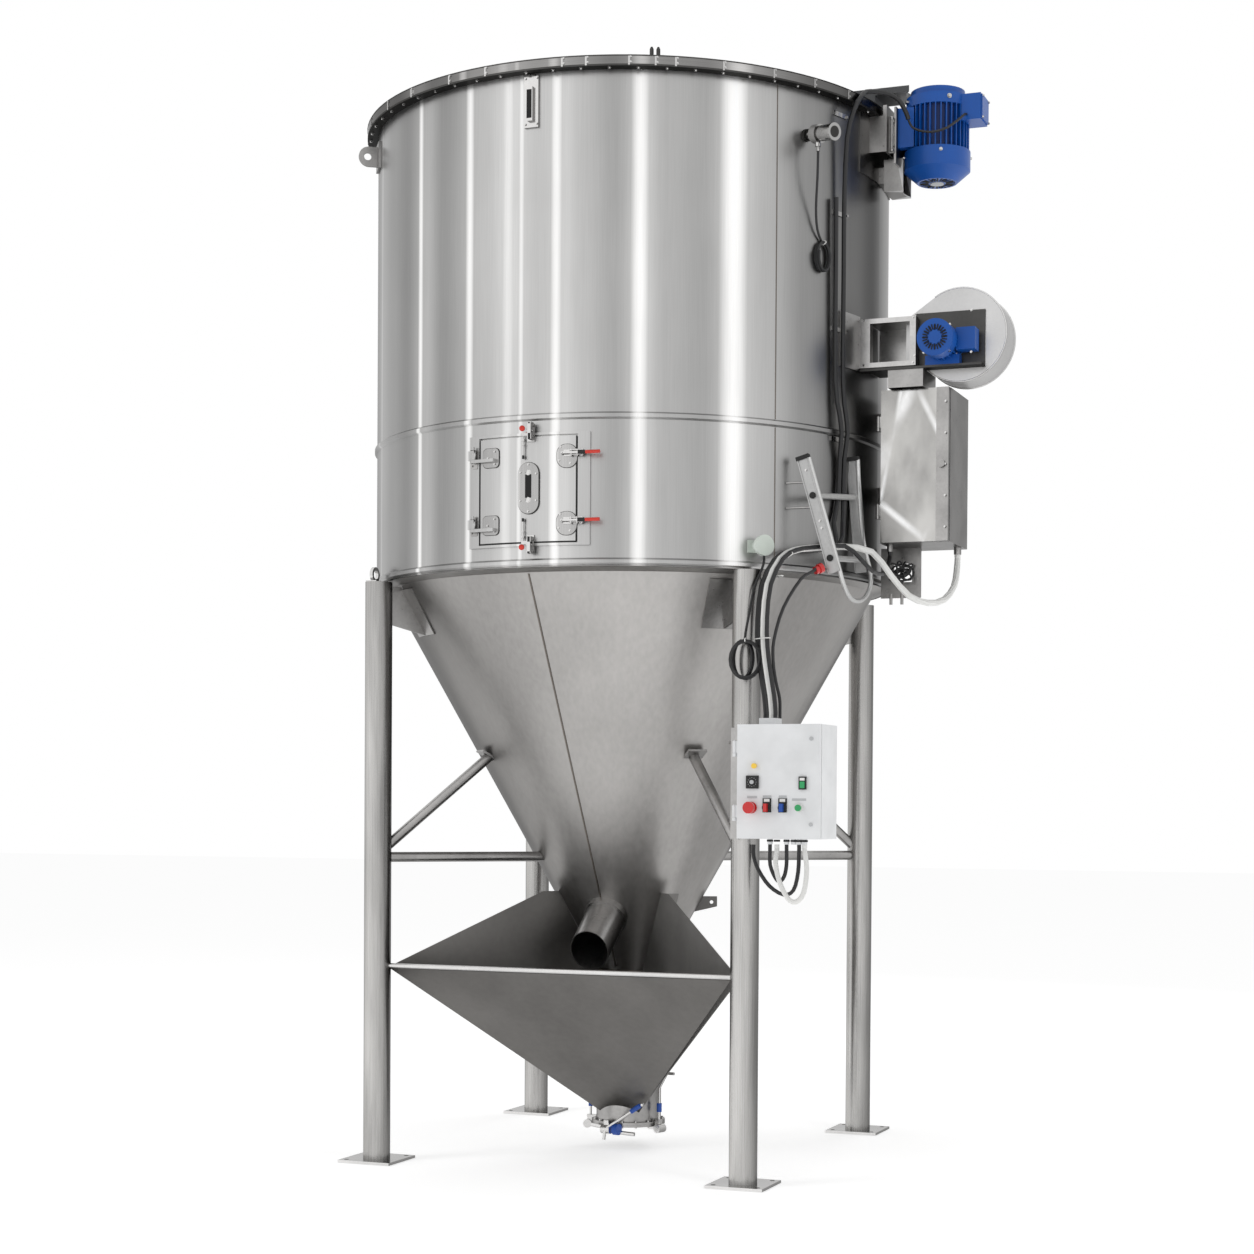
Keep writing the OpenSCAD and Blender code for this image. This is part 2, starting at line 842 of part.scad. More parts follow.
// The curved door with its hinge straps and hinge pins.
module hatch_door() {
  color("silver") {
    hatch_plate(door_r0, door_r1, hatch_door_a, hatch_door_h);
    for (z = hinge_rows)
      difference() {
        translate([hinge_pin[0], hinge_pin[1], hatch_z + z - strap_h - 0.5]) {
          cylinder(d = 10, h = eye_h + 24, $fn = 32);
          cylinder(d = 20, h = strap_h, $fn = 32);
          rotate([0, 0, hinge_a + 90]) {
            translate([0, -5, 0])
              cube([strap_l, 8, strap_h]);
            translate([32, -5, 0])
              cube([strap_l - 32, 25, strap_h]);
          }
        }
        drum_core(door_r0 + 2);
      }
  }
}

toggle_pad_d = 44;
toggle_base = [28, 26, 20];
toggle_arm = [44, 14, 8];
toggle_tip_d = 22;
toggle_grip_d = 22;
toggle_grip_l = 74;
toggle_lean = 74;

// One toggle clamp: base, arm with a round tip, and handle. It lies along X.
module toggle_clamp() {
  translate([0, 0, -3])
    cylinder(d = toggle_pad_d, h = 9, $fn = 32);
  translate([-toggle_base[0] / 2, -toggle_base[1] / 2, 6])
    cube(toggle_base);
  translate([8, -toggle_arm[1] / 2, 20])
    cube(toggle_arm);
  translate([46, 0, 8])
    cylinder(d = toggle_tip_d, h = 13, $fn = 32);
  translate([-4, -6, 24])
    cube([14, 12, 30]);
  translate([0, 0, 50])
    rotate([0, toggle_lean, 0])
      cylinder(d = toggle_grip_d, h = toggle_grip_l, $fn = 32);
}

module place_clamp(a, z, turn) {
  translate([door_r1 * cos(a), door_r1 * sin(a), z])
    rotate([0, 0, a + 90])
      rotate([90, 0, 0])
        rotate([0, 0, turn])
          toggle_clamp();
}

side_clamp_a = -83.2;
mid_clamp_a = -91;
clamp_up = 133;
clamp_down = 122;
clamp_in = 40;

module hatch_clamps() {
  color("silver")
    difference() {
      union() {
        place_clamp(side_clamp_a, hatch_z + clamp_up, 0);
        place_clamp(side_clamp_a, hatch_z - clamp_down, 0);
        place_clamp(mid_clamp_a, hatch_z + hatch_door_h / 2 - clamp_in, 90);
        place_clamp(mid_clamp_a, hatch_z - hatch_door_h / 2 + clamp_in, -90);
      }
      drum_core(door_r1 + 0.2);
    }
}

sight_t = 12;

// Oval plate on the door with an upright slot.
module sight_plate() {
  color("gray")
    difference() {
      translate([0, -door_r1 + 2, hatch_z + 12])
        rotate([90, 0, 0])
          linear_extrude(sight_t)
            difference() {
              union() {
                square([sight_w, sight_h - sight_w], center = true);
                for (s = [-1, 1])
                  translate([0, s * (sight_h - sight_w) / 2])
                    circle(d = sight_w, $fn = 48);
              }
              square([26, 70], center = true);
            }
      drum_core(door_r1 + 0.2);
    }
}

latch_x = 12;
latch_z = shell_z1 - 195;

module lid_latch() {
  color("silver")
    difference() {
      translate([latch_x, -shell_r + 3, latch_z])
        rotate([90, 0, 0]) {
          translate([-27, 0, 0])
            cube([54, 184, 12]);
          translate([-10, 20, 11])
            cube([20, 120, 14]);
        }
      drum_core(shell_r + eps);
    }
}

lug_a = -146;
lug_z = shell_z1 - 99;
lug_hole_d = 28;

// The lifting lug: a back plate on the drum and a rounded ear with a hole.
module lifting_lug() {
  color("silver")
    rotate([0, 0, lug_a])
      difference() {
        union() {
          translate([shell_r - 3, -45, lug_z - 50])
            cube([12, 90, 100]);
          translate([shell_r + 2, 5, lug_z])
            rotate([90, 0, 0])
              linear_extrude(10)
                difference() {
                  union() {
                    translate([0, -38])
                      square([40, 76]);
                    translate([40, 0])
                      circle(d = 76, $fn = 48);
                  }
                  translate([44, 0])
                    circle(d = lug_hole_d, $fn = 32);
                }
        }
        drum_core(shell_r + eps);
      }
}

motor_end_r = 75;
motor_slant_h = 42;
motor_foot_out = 8;
foot_x = motor_x - motor_fin_d / 2 - motor_foot_out;
term_w = 112;
term_h = 96;
term_d = 58;
term_z = fin_z1 - 60;

fin_t = 4;
fin_root = 15;
shoulder_h = 27;
foot_pad_y = [-98, 64];
foot_pad = [60, 34];
term_in = 14;
grille_slot = [24, 18, 12];

// The motor hangs with its fan cowl down and its drive end up.
module main_motor() {
  color("royalblue")
    translate([motor_x, 0, 0])
      difference() {
        union() {
          rotate_extrude($fn = fine)
            polygon([[0, motor_z0], [motor_end_r, motor_z0], [motor_cowl_d / 2, motor_z0 + motor_slant_h],
              [motor_cowl_d / 2, fin_z0], [0, fin_z0]]);
          translate([0, 0, fin_z0 - 1])
            cylinder(d = motor_fin_d - 2 * fin_root, h = motor_fin_h + 2, $fn = fine);
          for (i = [0:motor_fins - 1])
            rotate([0, 0, i * 360 / motor_fins])
              translate([0, -fin_t / 2, fin_z0 - 1])
                cube([motor_fin_d / 2, fin_t, motor_fin_h + 2]);
          translate([0, 0, fin_z1])
            cylinder(d = motor_fin_d, h = motor_end_h - shoulder_h + 1, $fn = fine);
          translate([0, 0, fin_z1 + motor_end_h - shoulder_h])
            cylinder(d = motor_fin_d - 34, h = shoulder_h, $fn = fine);
          for (y = foot_pad_y)
            translate([-motor_fin_d / 2 - motor_foot_out, y, fin_z0 + 6])
              cube([foot_pad[0], foot_pad[1], motor_fin_h - 12]);
          translate([motor_fin_d / 2 - term_in, -term_w / 2, term_z])
            cube([term_d + term_in, term_w, term_h]);
          translate([motor_fin_d / 2 + term_d - 1, -term_w / 2 + 5, term_z + 5])
            cube([7, term_w - 10, term_h - 10]);
        }
        for (a = [0:45:315])
          rotate([0, 0, a])
            translate([40, -grille_slot[1] / 2, motor_z0 - 1])
              cube(grille_slot);
      }
}

bracket_z0 = motor_z0 + 12;
bracket_z1 = shell_z1 - flange_t - eps;
web_x = shell_r + 62;
side_z0 = motor_z0 + 100;
step_z0 = motor_z0 - 30;
step_z1 = motor_z0 + 90;

cheek_t = 6;
web_half = 132;
ear_x = shell_r + flange_w + 6;
ear_h = 38;
wall_patch = 5;
pad_t = 8;
foot_web_y = [-104, 98];
step_h = 120;
step_t = 4;
post_x = foot_x - 14;
post_y = -136;
post_d = 10;
post_l = 118;

// Plate on the drum, two folded side plates and the upright plate for the motor feet.
module motor_bracket() {
  side_h = bracket_z1 - side_z0;
  foot_back = foot_x - pad_t - eps;
  color("silver") {
    arc_plate(shell_r + eps, shell_r + wall_patch, -12, 12, bracket_z0, bracket_z1);
    difference() {
      union() {
        for (y = [-web_half, web_half - cheek_t])
          translate([shell_r - 40, y, side_z0])
            cube([web_x - shell_r + 40, cheek_t, side_h]);
        for (y = [-web_half, web_half - cheek_t])
          translate([ear_x, y, bracket_z1 - 1])
            cube([web_x - ear_x, cheek_t, ear_h + 1]);
        translate([web_x - cheek_t, -web_half, side_z0])
          cube([cheek_t, 2 * web_half, side_h + ear_h]);
        for (y = foot_web_y)
          translate([web_x - 1, y, side_z0])
            cube([foot_back - web_x + 2, cheek_t, side_h]);
        translate([foot_back, -125, motor_z0 + 55])
          cube([pad_t, 250, fin_z1 - motor_z0 - 61]);
        difference() {
          translate([shell_r + 33, -step_h / 2, step_z0])
            cube([74, step_h, step_z1 - step_z0]);
          translate([shell_r + 33 + step_t, step_t - step_h / 2, step_z0 + step_t])
            cube([80, step_h - 2 * step_t, step_z1 - step_z0 - 2 * step_t]);
        }
        translate([shell_r - 20, -30, step_z0 + 40])
          cube([54, 60, 60]);
      }
      drum_core(shell_r + 4);
      translate([motor_x, 0, 0])
        cylinder(d = motor_cowl_d + 8, h = fin_z0 + 3, $fn = fine);
    }
    translate([post_x, post_y, side_z0 + 1])
      cylinder(d = post_d, h = post_l, $fn = 32);
    for (z = [side_z0 + 1, side_z0 + 1 + post_l])
      translate([post_x, post_y, z])
        sphere(d = 16, $fn = 32);
    for (z = [side_z0 + 15, side_z0 + 103])
      translate([post_x - 5, post_y, z])
        cube([12, 14, 8]);
  }
}

sens_a = -30;
sens_z = shell_z1 - 165;

boss_d = 60;
boss_h = 8;
stem_d = 34;
head_d = 58;
head_at = 46;
can_d = 50;
can_at = 78;
cap_d = 56;
cap_at = 125;

module upper_sensor() {
  color("lightgray")
    rotate([0, 0, sens_a])
      translate([shell_r + eps, 0, sens_z])
        rotate([0, 90, 0]) {
          cylinder(d = boss_d, h = boss_h, $fn = 32);
          cylinder(d = stem_d, h = boss_d, $fn = 32);
          translate([0, 0, head_at])
            cylinder(d = head_d, h = 34, $fn = 32);
          translate([0, 0, can_at])
            cylinder(d = can_d, h = 48, $fn = 32);
          translate([0, 0, cap_at])
            difference() {
              cylinder(d = cap_d, h = 33, $fn = 32);
              translate([0, 0, 20])
                cylinder(d = stem_d, h = 20, $fn = 32);
            }
        }
}

low_sens_a = -42;
low_sens_z = shell_z0 + 79;

module lower_sensor() {
  color("lightgray")
    rotate([0, 0, low_sens_a])
      translate([shell_r + eps, 0, low_sens_z])
        rotate([0, 90, 0]) {
          translate([-22, -36, 0])
            cube([44, 72, 5]);
          cylinder(d = 42, h = 50, $fn = 32);
          translate([0, 0, 49])
            cylinder(d = 74, h = 17, $fn = 48);
        }
}

win_x0 = shell_r - 16;
win_x1 = win_x0 + window_w;
win_z0 = fan_z - 74;
win_z1 = win_z0 + window_h;
win_y0 = -202;
win_y1 = win_y0 + 42;
scroll_y = -144;
scroll_x = fan_x + 53;
scroll_z = fan_z + 38;
outlet_x = scroll_x - scroll_r - 32;
plate_y = scroll_y - eps - 6;
plate_x0 = win_x1 - 12;
plate_x1 = fan_x + 147;
shelf_z = win_z0 - 12;
sheet = 4;

shelf_t = 8;
window_d = 42;
frame_in = 20;

// Tube frame, the open duct box behind it, and the dark plate for the fan's motor.
module blower_frame() {
  duct_l = outlet_x - eps - win_x0;
  duct_d = scroll_y + scroll_w - win_y1;
  color("silver") {
    arc_plate(shell_r + eps, shell_r + 6, -19.3, -11.5, shelf_z, win_z1 + 10);
    difference() {
      union() {
        difference() {
          translate([win_x0 - frame_in, win_y0, win_z0])
            cube([window_w + frame_in, window_d, window_h]);
          translate([win_x0 + 40, win_y0 - 1, win_z0 + window_bar])
            cube([window_w - 63, window_d + 2, window_h - 2 * window_bar]);
        }
        difference() {
          translate([win_x0 - frame_in, win_y1 - 1, win_z0])
            cube([duct_l + frame_in, duct_d, window_h]);
          translate([win_x0 - 80, win_y1 - 2, win_z0 + sheet])
            cube([duct_l + eps + 90, duct_d - sheet, window_h - 2 * sheet]);
        }
        translate([win_x0 - frame_in, win_y0, shelf_z])
          cube([plate_x1 - win_x0 + frame_in, win_y1 - win_y0 + 10, shelf_t]);
        translate([win_x0 - frame_in, win_y0 + 6, shelf_z + shelf_t - 1])
          cube([window_w, 30, 7]);
        translate([plate_x0, plate_y, shelf_z])
          cube([plate_x1 - plate_x0, 6, win_z1 + 18 - shelf_z]);
      }
      drum_core(shell_r + 4);
    }
  }
}

fan_foot_w = 128;

fan_fins = 18;
fan_flange_h = 20;
fan_cowl_l = 62;
fan_box = [70, 80, 64];
fan_foot_h = 34;

// The blower's motor with fan cowl, fins, foot and terminal box.
module blower_motor() {
  color("royalblue")
    difference() {
      translate([fan_x, plate_y - eps, fan_z])
        rotate([90, 0, 0]) {
          cylinder(d = fan_motor_d + 4, h = fan_flange_h, $fn = 48);
          cylinder(d = fan_motor_d - 22, h = fan_motor_l - 40, $fn = 48);
          for (i = [0:fan_fins - 1])
            rotate([0, 0, i * 360 / fan_fins])
              translate([0, -fin_t / 2, 10])
                cube([fan_motor_d / 2 - 2, fin_t, fan_motor_l - 70]);
          translate([0, 0, fan_motor_l - fan_cowl_l])
            cylinder(d = fan_motor_d, h = fan_cowl_l, $fn = 48);
          translate([fan_motor_d / 2 - 8, -34, fan_flange_h])
            cube(fan_box);
        }
      translate([fan_x, plate_y - fan_motor_l - 4, fan_z])
        rotate([-90, 0, 0])
          for (a = [0:30:330])
            rotate([0, 0, a])
              translate([24, -4, 0])
                cube([20, 8, 10]);
    }
  color("royalblue")
    translate([fan_x - fan_foot_w / 2, win_y0, shelf_z + shelf_t + eps])
      cube([fan_foot_w, win_y1 - win_y0 - 2, fan_foot_h]);
}

// Scroll housing: a round drum that widens towards its outlet on the left.
module blower_scroll() {
  color("gainsboro")
    translate([scroll_x, scroll_y, scroll_z])
      rotate([90, 0, 0])
        translate([0, 0, -scroll_w]) {
          cylinder(r = scroll_r, h = scroll_w, $fn = 96);
          linear_extrude(scroll_w)
            polygon([[outlet_x - scroll_x, win_z1 - scroll_z], [-scroll_r * 0.569, scroll_r * 0.8223],
              [0, 0], [-scroll_r * 0.64, win_z0 + 4 - scroll_z],
              [outlet_x - scroll_x, win_z0 + 4 - scroll_z]]);
        }
}

duct_x0 = cab_x + 40;
duct_x1 = duct_x0 + 133;
duct_top = shelf_z - eps;

// The short square duct between the cabinet and the blower's shelf.
module air_duct() {
  color("silver")
    difference() {
      translate([duct_x0, -196, cab_z + cab_h + eps])
        cube([duct_x1 - duct_x0, 190, duct_top - cab_z - cab_h - eps]);
      translate([duct_x0 + 3, -193, cab_z + cab_h - 1])
        cube([duct_x1 - duct_x0 - 6, 184, 200]);
    }
}

pin_d = 8;
sleeve_d = 14;
hinge_off = sleeve_d / 2 + 0.6;
pin_l = 56;
sleeve_l = 40;

// The fixed half of a lift-off hinge: collar, pin and leaf on the box's left edge.
module hinge_fixed(x, y, z, side_y) {
  translate([x - hinge_off, y, z]) {
    cylinder(d = pin_d, h = pin_l, $fn = 32);
    cylinder(d = sleeve_d, h = 12, $fn = 32);
    translate([2, 0, 0])
      cube([hinge_off - 1, side_y - y, 12]);
  }
}

// The moving half: a sleeve over the pin and the lug that joins it to the door.
module hinge_moving(x, y, z) {
  translate([x - hinge_off, y, z + 13])
    difference() {
      union() {
        cylinder(d = sleeve_d, h = sleeve_l, $fn = 32);
        translate([0, -3, 0])
          cube([sleeve_d / 2 + 16, 6, sleeve_l]);
      }
      translate([0, 0, -1])
        cylinder(d = pin_d + 0.6, h = sleeve_l + 2, $fn = 32);
    }
}

cab_door_y = cab_y - clear - cab_door_t / 2;
cab_rows = [cab_z + 90, cab_z + cab_h - 150];
cab_x1 = cab_x + cab_w;
strut_z0 = cab_z - 188;
strut_y = 30;

strut_t = 6;
strut_hole = 70;
stay = 60;
stay_rows = [172, 452];
foot_bolt_x = [-4, 39];
gland_h = 26;

// Sheet-metal cabinet, open at the front, with its struts and bottom bracket.
module heater_cabinet() {
  color("silver") {
    difference() {
      translate([cab_x, cab_y, cab_z])
        cube([cab_w, cab_d, cab_h]);
      translate([cab_x + cab_t, cab_y - 1, cab_z + cab_t])
        cube([cab_w - 2 * cab_t, cab_d - cab_t + 1, cab_h - 2 * cab_t]);
    }
    for (z = cab_rows)
      hinge_fixed(cab_x, cab_door_y, z, cab_y + 24);
    difference() {
      translate([shell_r - stay, strut_y, strut_z0])
        cube([cab_x + 113 - shell_r + stay, strut_t, cab_z - strut_z0 + 1]);
      drum_core(shell_r + bead_h + eps);
      translate([cab_x + 8, strut_y - 1, strut_z0 + 60])
        cube([strut_hole, strut_t + 2, strut_hole]);
    }
    difference() {
      for (z = stay_rows)
        translate([shell_r - stay, strut_y - 10, cab_z + z])
          cube([cab_x - shell_r + stay + 1, stay, stay]);
      drum_core(shell_r + eps);
    }
    for (x = foot_bolt_x)
      translate([cab_x + x, strut_y + strut_t / 2, strut_z0 - 24])
        cylinder(d = 12, h = 40, $fn = 32);
    translate([cab_x + 24, cab_y + 50, cab_z - gland_h])
      cylinder(d = 24, h = gland_h + 1, $fn = 32);
    translate([cab_x1 - 20, 70, cab_z - gland_h])
      cylinder(d = 28, h = gland_h + 1, $fn = 32);
  }
}

lock_z = cab_z + 283;

// The cabinet door: pan, raised hem on the right, round lock and hinge sleeves.
module cabinet_door() {
  front = cab_y - clear - cab_door_t;
  color("silver") {
    translate([cab_x + 5, front, cab_z + 1])
      cube([cab_w - 6, cab_door_t, cab_h - 2]);
    translate([cab_x1 - 1 - cab_hem, front - 6, cab_z + 1])
      cube([cab_hem, 7, cab_h - 2]);
    translate([cab_x1 - cab_hem / 2 - 3, front - 5, lock_z])
      rotate([90, 0, 0])
        cylinder(d = 28, h = 13, $fn = 32);
    for (z = cab_rows)
      hinge_moving(cab_x, cab_door_y, z);
  }
}

near_y = -570;
far_y = near_y + side_gap;
low_z = shell_z0 + side_low;
top_z = low_z + side_l;
near_top = [shell_r - 115, near_y, top_z];
near_low = [shell_r + 5, near_y, low_z];
far_top = [shell_r - 55, far_y, top_z + 35];
far_low = [shell_r + 15, far_y, low_z + 30];
hoop = [[shell_r + 4, near_y, low_z + 12], [shell_r + 10, near_y + 50, low_z - 60],
  [shell_r + 45, near_y + 160, low_z - 75], [shell_r + 56, far_y - 55, low_z],
  [shell_r + 44, far_y, low_z + 72], [shell_r + 18, far_y, low_z + 140],
  [shell_r - 32, far_y, low_z + 432]];

// One flat side rail of the ladder with the given top and bottom point.
module side_rail(p, q) {
  v = q - p;
  translate(p)
    rotate([0, atan2(v[0], v[2]), 0])
      translate([-side_w / 2, -side_t / 2, 0])
        cube([side_w, side_t, norm(v)]);
}

// The lower end of an access ladder: two rails, two rungs and a bent guard tube.
module ladder() {
  color("silver")
    difference() {
      union() {
        side_rail(near_top, near_low);
        side_rail(far_top, far_low);
        bar([shell_r - 50, near_y - 8, low_z + 275], [shell_r + 3, far_y + 8, low_z + 305], rung_d);
        bar([shell_r + 5, near_y - 8, low_z + 50], [shell_r + 43, far_y + 8, low_z + 75], rung_d);
        bent_bar(hoop, 20);
        for (z = [low_z + 290, low_z + 380]) {
          translate([800, near_y - 6, z])
            cube([105, 12, 30]);
          translate([930, far_y - 6, z])
            cube([40, 12, 30]);
        }
      }
      drum_core(shell_r + eps);
    }
}

gland_x = [92, 152, 177, 197, 217];
entry_x = box_x + 87;
entry_y = box_y0 + 89;

entry = [60, 68, 25];
box_gland_d = 18;
box_gland_h = 20;

// Steel enclosure, open at the front, with the entry block and glands.
module control_box() {
  color("white") {
    difference() {
      translate([box_x, box_y0, box_z])
        cube([box_w, box_d, box_h]);
      translate([box_x + box_t, box_y0 - 1, box_z + box_t])
        cube([box_w - 2 * box_t, box_d - box_t + 1, box_h - 2 * box_t]);
    }
    translate([entry_x - entry[0] / 2, entry_y - entry[1] / 2, box_top - 1])
      cube(entry);
    for (z = [box_z + 60, box_top - 110])
      hinge_fixed(box_x, box_y0 - clear - box_door_t / 2, z, box_y0 + 30);
    for (x = gland_x)
      translate([box_x + x, box_y0 + 79, box_z - box_gland_h])
        cylinder(d = box_gland_d, h = box_gland_h + 1, $fn = 32);
  }
}

module control_door() {
  color("white") {
    translate([box_x + 5, box_y0 - clear - box_door_t, box_z])
      cube([box_w - 5, box_door_t, box_h]);
    for (z = [box_z + 60, box_top - 110])
      hinge_moving(box_x, box_y0 - clear - box_door_t / 2, z);
  }
}

rail_y = box_y1 + eps;
rail_x0 = leg_xy - 30;

rail_h = 30;
rail_rows = [box_z + 40, box_top - 70];
strap_rows = [box_z + 55, box_top - 55];
collar_h = 10;
collar_over = 18;

// Two level rails and an upright strip that carry the box on the leg.
module control_rails() {
  color("silver") {
    for (z = rail_rows)
      translate([rail_x0, rail_y, z])
        cube([box_x + box_w - 20 - rail_x0, rail_depth, rail_h]);
    translate([rail_x0, rail_y - 6, box_z - 4])
      cube([28, 6.5, box_h]);
    for (z = strap_rows)
      difference() {
        translate([leg_xy, -leg_xy, z - collar_h / 2])
          cylinder(d = leg_d + collar_over, h = collar_h, $fn = 48);
        translate([leg_xy, -leg_xy, z - collar_h / 2 - 1])
          cylinder(d = leg_d + 2 * eps, h = collar_h + 2, $fn = 48);
        translate([leg_xy - 100, -leg_xy - 160 - leg_d / 2 - eps, z - collar_h / 2 - 1])
          cube([200, 160, collar_h + 2]);
      }
  }
}

face_y = box_y0 - clear - box_door_t - eps;

module knob(x, z, d, h) {
  translate([box_x + x, face_y, box_z + z])
    rotate([90, 0, 0])
      cylinder(d = d, h = h, $fn = 32);
}

lamp_at = [68, 248];
stop_at = [58, 106];
stop_d = 40;
timer_at = [40, 171];
lit_at = [228, 168];
switch_out = 8;
square_h = 44;
lit_w = 26;
low_row = 106;
selector_x = [114, 170];
push_x = 228;
bezel_d = 30;
bezel_h = 10;
push_d = 22;
lever = [12, 17, 28];

// Lamp, timer, lit switch and the row of four buttons on the door.
module switch_set() {
  color("dimgray") {
    knob(lamp_at[0], lamp_at[1], 18, bezel_h);
    translate([box_x + timer_at[0], face_y - switch_out, box_z + timer_at[1]])
      cube([square_h, switch_out, square_h]);
    translate([box_x + lit_at[0], face_y - switch_out, box_z + lit_at[1]])
      cube([lit_w, switch_out, square_h]);
    knob(stop_at[0], stop_at[1], push_d, 24);
    knob(stop_at[0], stop_at[1], stop_d, 6);
    translate([0, -push_d, 0])
      knob(stop_at[0], stop_at[1], stop_d, 14);
    for (x = selector_x) {
      knob(x, low_row, bezel_d, bezel_h);
      translate([box_x + x - lever[0] / 2, face_y - bezel_h + 1 - lever[1], box_z + low_row - lever[2] / 2])
        cube(lever);
    }
    knob(push_x, low_row, bezel_d, bezel_h);
    knob(push_x, low_row, push_d, 16);
  }
}

// Cord helpers: a smooth run through hand-set points, and the round tube on it.
function unit(v) = v / norm(v);
function tan_at(p, i) = unit(p[min(i + 1, len(p) - 1)] - p[max(i - 1, 0)]);
function mix4(a, b, c, d, t) = 0.5 * (2 * b + (c - a) * t + (2 * a - 5 * b + 4 * c - d) * t * t
  + (3 * b - a - 3 * c + d) * t * t * t);
function smooth(p, k) = concat([for (i = [0:len(p) - 2]) for (j = [0:k - 1])
  mix4(p[max(i - 1, 0)], p[i], p[i + 1], p[min(i + 2, len(p) - 1)], j / k)], [p[len(p) - 1]]);

module cord(p, d, ref, n = 8) {
  m = len(p);
  points = [for (i = [0:m - 1]) let (t = tan_at(p, i), u = unit(cross(ref, t)), v = cross(t, u))
    for (k = [0:n - 1]) p[i] + d / 2 * (cos(k * 360 / n) * u + sin(k * 360 / n) * v)];
  cap0 = [[for (k = [n - 1:-1:0]) k]];
  cap1 = [[for (k = [0:n - 1]) (m - 1) * n + k]];
  sides = [for (i = [0:m - 2]) for (k = [0:n - 1]) for (s = [0, 1])
    s == 0 ? [i * n + k, i * n + (k + 1) % n, (i + 1) * n + (k + 1) % n]
      : [i * n + k, (i + 1) * n + (k + 1) % n, (i + 1) * n + k]];
  polyhedron(points, concat(cap0, cap1, sides), convexity = 6);
}

// The ends of a cord hang straight below a gland, or stand straight on a seat.
function down(x, y, z) = [[x, y, z], [x, y, z - 8], [x, y, z - 20]];
function up(x, y, z) = [[x, y, z - 20], [x, y, z - 8], [x, y, z]];
function onto(x, y, z) = [[x, y, z + 24], [x, y, z + 10], [x, y, z]];

// The thick cords run down the drum's side and join the others in one bundle.
entry_top = box_top - 1 + entry[2] + eps;
bundle = concat([[985, -440, 2285], [900, -556, 2270], [870, -650, 2252], [845, -725, 2215],
  [822, -790, 2120], [816, -812, 2000], [822, -824, 1900], [845, -852, 1800], [866, -880, 1730]],
  onto(entry_x, entry_y, entry_top));
bundle_side = [sin(45), -cos(45), 0];
function beside(p, k) = [for (q = p) q + k * bundle_side];
bundle_places = [-36, -13, 13.5, 38];
down_a = [[965, -350, 3300], [965, -350, 2900], [974, -340, 2780], [980, -336, 2710], [966, -328, 2620],
  [962, -325, 2480], [967, -343, 2380]];
down_b = [[945, -385, 3560], [945, -383, 3300], [945, -380, 2900], [958, -368, 2780], [965, -362, 2710],
  [955, -350, 2620], [951, -352, 2480], [942, -377, 2380]];
arch = [[1148, -146, 3890], [1142, -152, 3912], [1122, -176, 3952], [1090, -200, 3972],
  [1050, -232, 3976], [1020, -268, 3968], [1012, -310, 3936], [996, -344, 3880], [974, -351, 3780],
  [965, -350, 3560]];
motor_lead = [[1149, -146, 3888], [1160, -140, 3864], [1190, -141, 3846], [1240, -142, 3836],
  [1290, -135, 3848], [1328, -112, 3880], [1345, -80, 3908], [1346, -56.5, 3914]];

// The two thick cords with their arch over to the motor and the lead to its box.
module drum_cables() {
  color("black") {
    cord(smooth(concat(arch, down_a, beside(bundle, bundle_places[1])), 2), cable_d, [0.6, 0.5, 0.3]);
    cord(smooth(concat(down_b, beside(bundle, bundle_places[0])), 2), cable_d, [0.6, 0.5, 0.3]);
    cord(smooth(motor_lead, 3), thin_d, [0.1, 0.2, 1]);
  }
}

under_z = box_z - box_gland_h - eps;
gland_y = box_y0 + 79;
cab_under = cab_z - gland_h - eps;
fan_lead = concat(down(cab_x + 24, cab_y + 50, cab_under), [[1080, -130, 2245], [1086, -230, 2205],
  [1082, -350, 2205], [1060, -425, 2240]]);
loop_a = concat(down(880, gland_y, under_z), [[881, gland_y, 1145], [898, gland_y, 1104],
  [915, gland_y, 1088], [932, gland_y, 1106], [940, gland_y, 1145]], up(940, gland_y, under_z));
loop_b = concat([[780, -780, 1212], [781, -781, 1170], [806, -800, 1122], [858, -838, 1070],
  [920, -872, 1042], [962, -890, 1058], [982, gland_y, 1120]], up(985, gland_y, under_z));
plug_lead = concat([[952, -622, 2190], [945, -640, 2178], [920, -700, 2145], [885, -785, 2040],
  [868, -836, 1925], [870, -850, 1850], [884, -862, 1780], [900, -867, 1720]],
  onto(entry_x + 27, entry_y + 22, entry_top));

// The blower's lead, the plug lead and the two black loops below the box.
module control_cables() {
  color("black") {
    cord(smooth(concat(fan_lead, beside(bundle, bundle_places[3])), 2), cable_d - 2, [0.6, 0.5, 0.3]);
    cord(smooth(plug_lead, 3), cable_d - 6, [0.6, 0.5, 0.3]);
    cord(smooth(loop_a, 3), cable_d - 4, [0, 1, 0.1]);
    cord(smooth(loop_b, 3), cable_d - 4, [0.5, 1, 0.1]);
  }
}

hose_start = concat(down(cab_x1 - 20, 70, cab_under), [[cab_x1 - 18, 50, 2235], [cab_x1 - 16, 0, 2175],
  [1285, -90, 2118], [1250, -190, 2098], [1200, -275, 2118], [1145, -330, 2190], [1085, -372, 2272]]);
hose_loop = concat(down(905, gland_y, under_z), [[908, gland_y - 22, 1150], [925, gland_y - 32, 1090],
  [955, gland_y - 34, 1034], [985, gland_y - 34, 1020], [1012, gland_y - 30, 1052],
  [1018, gland_y - 16, 1130]], up(1005, gland_y, under_z));

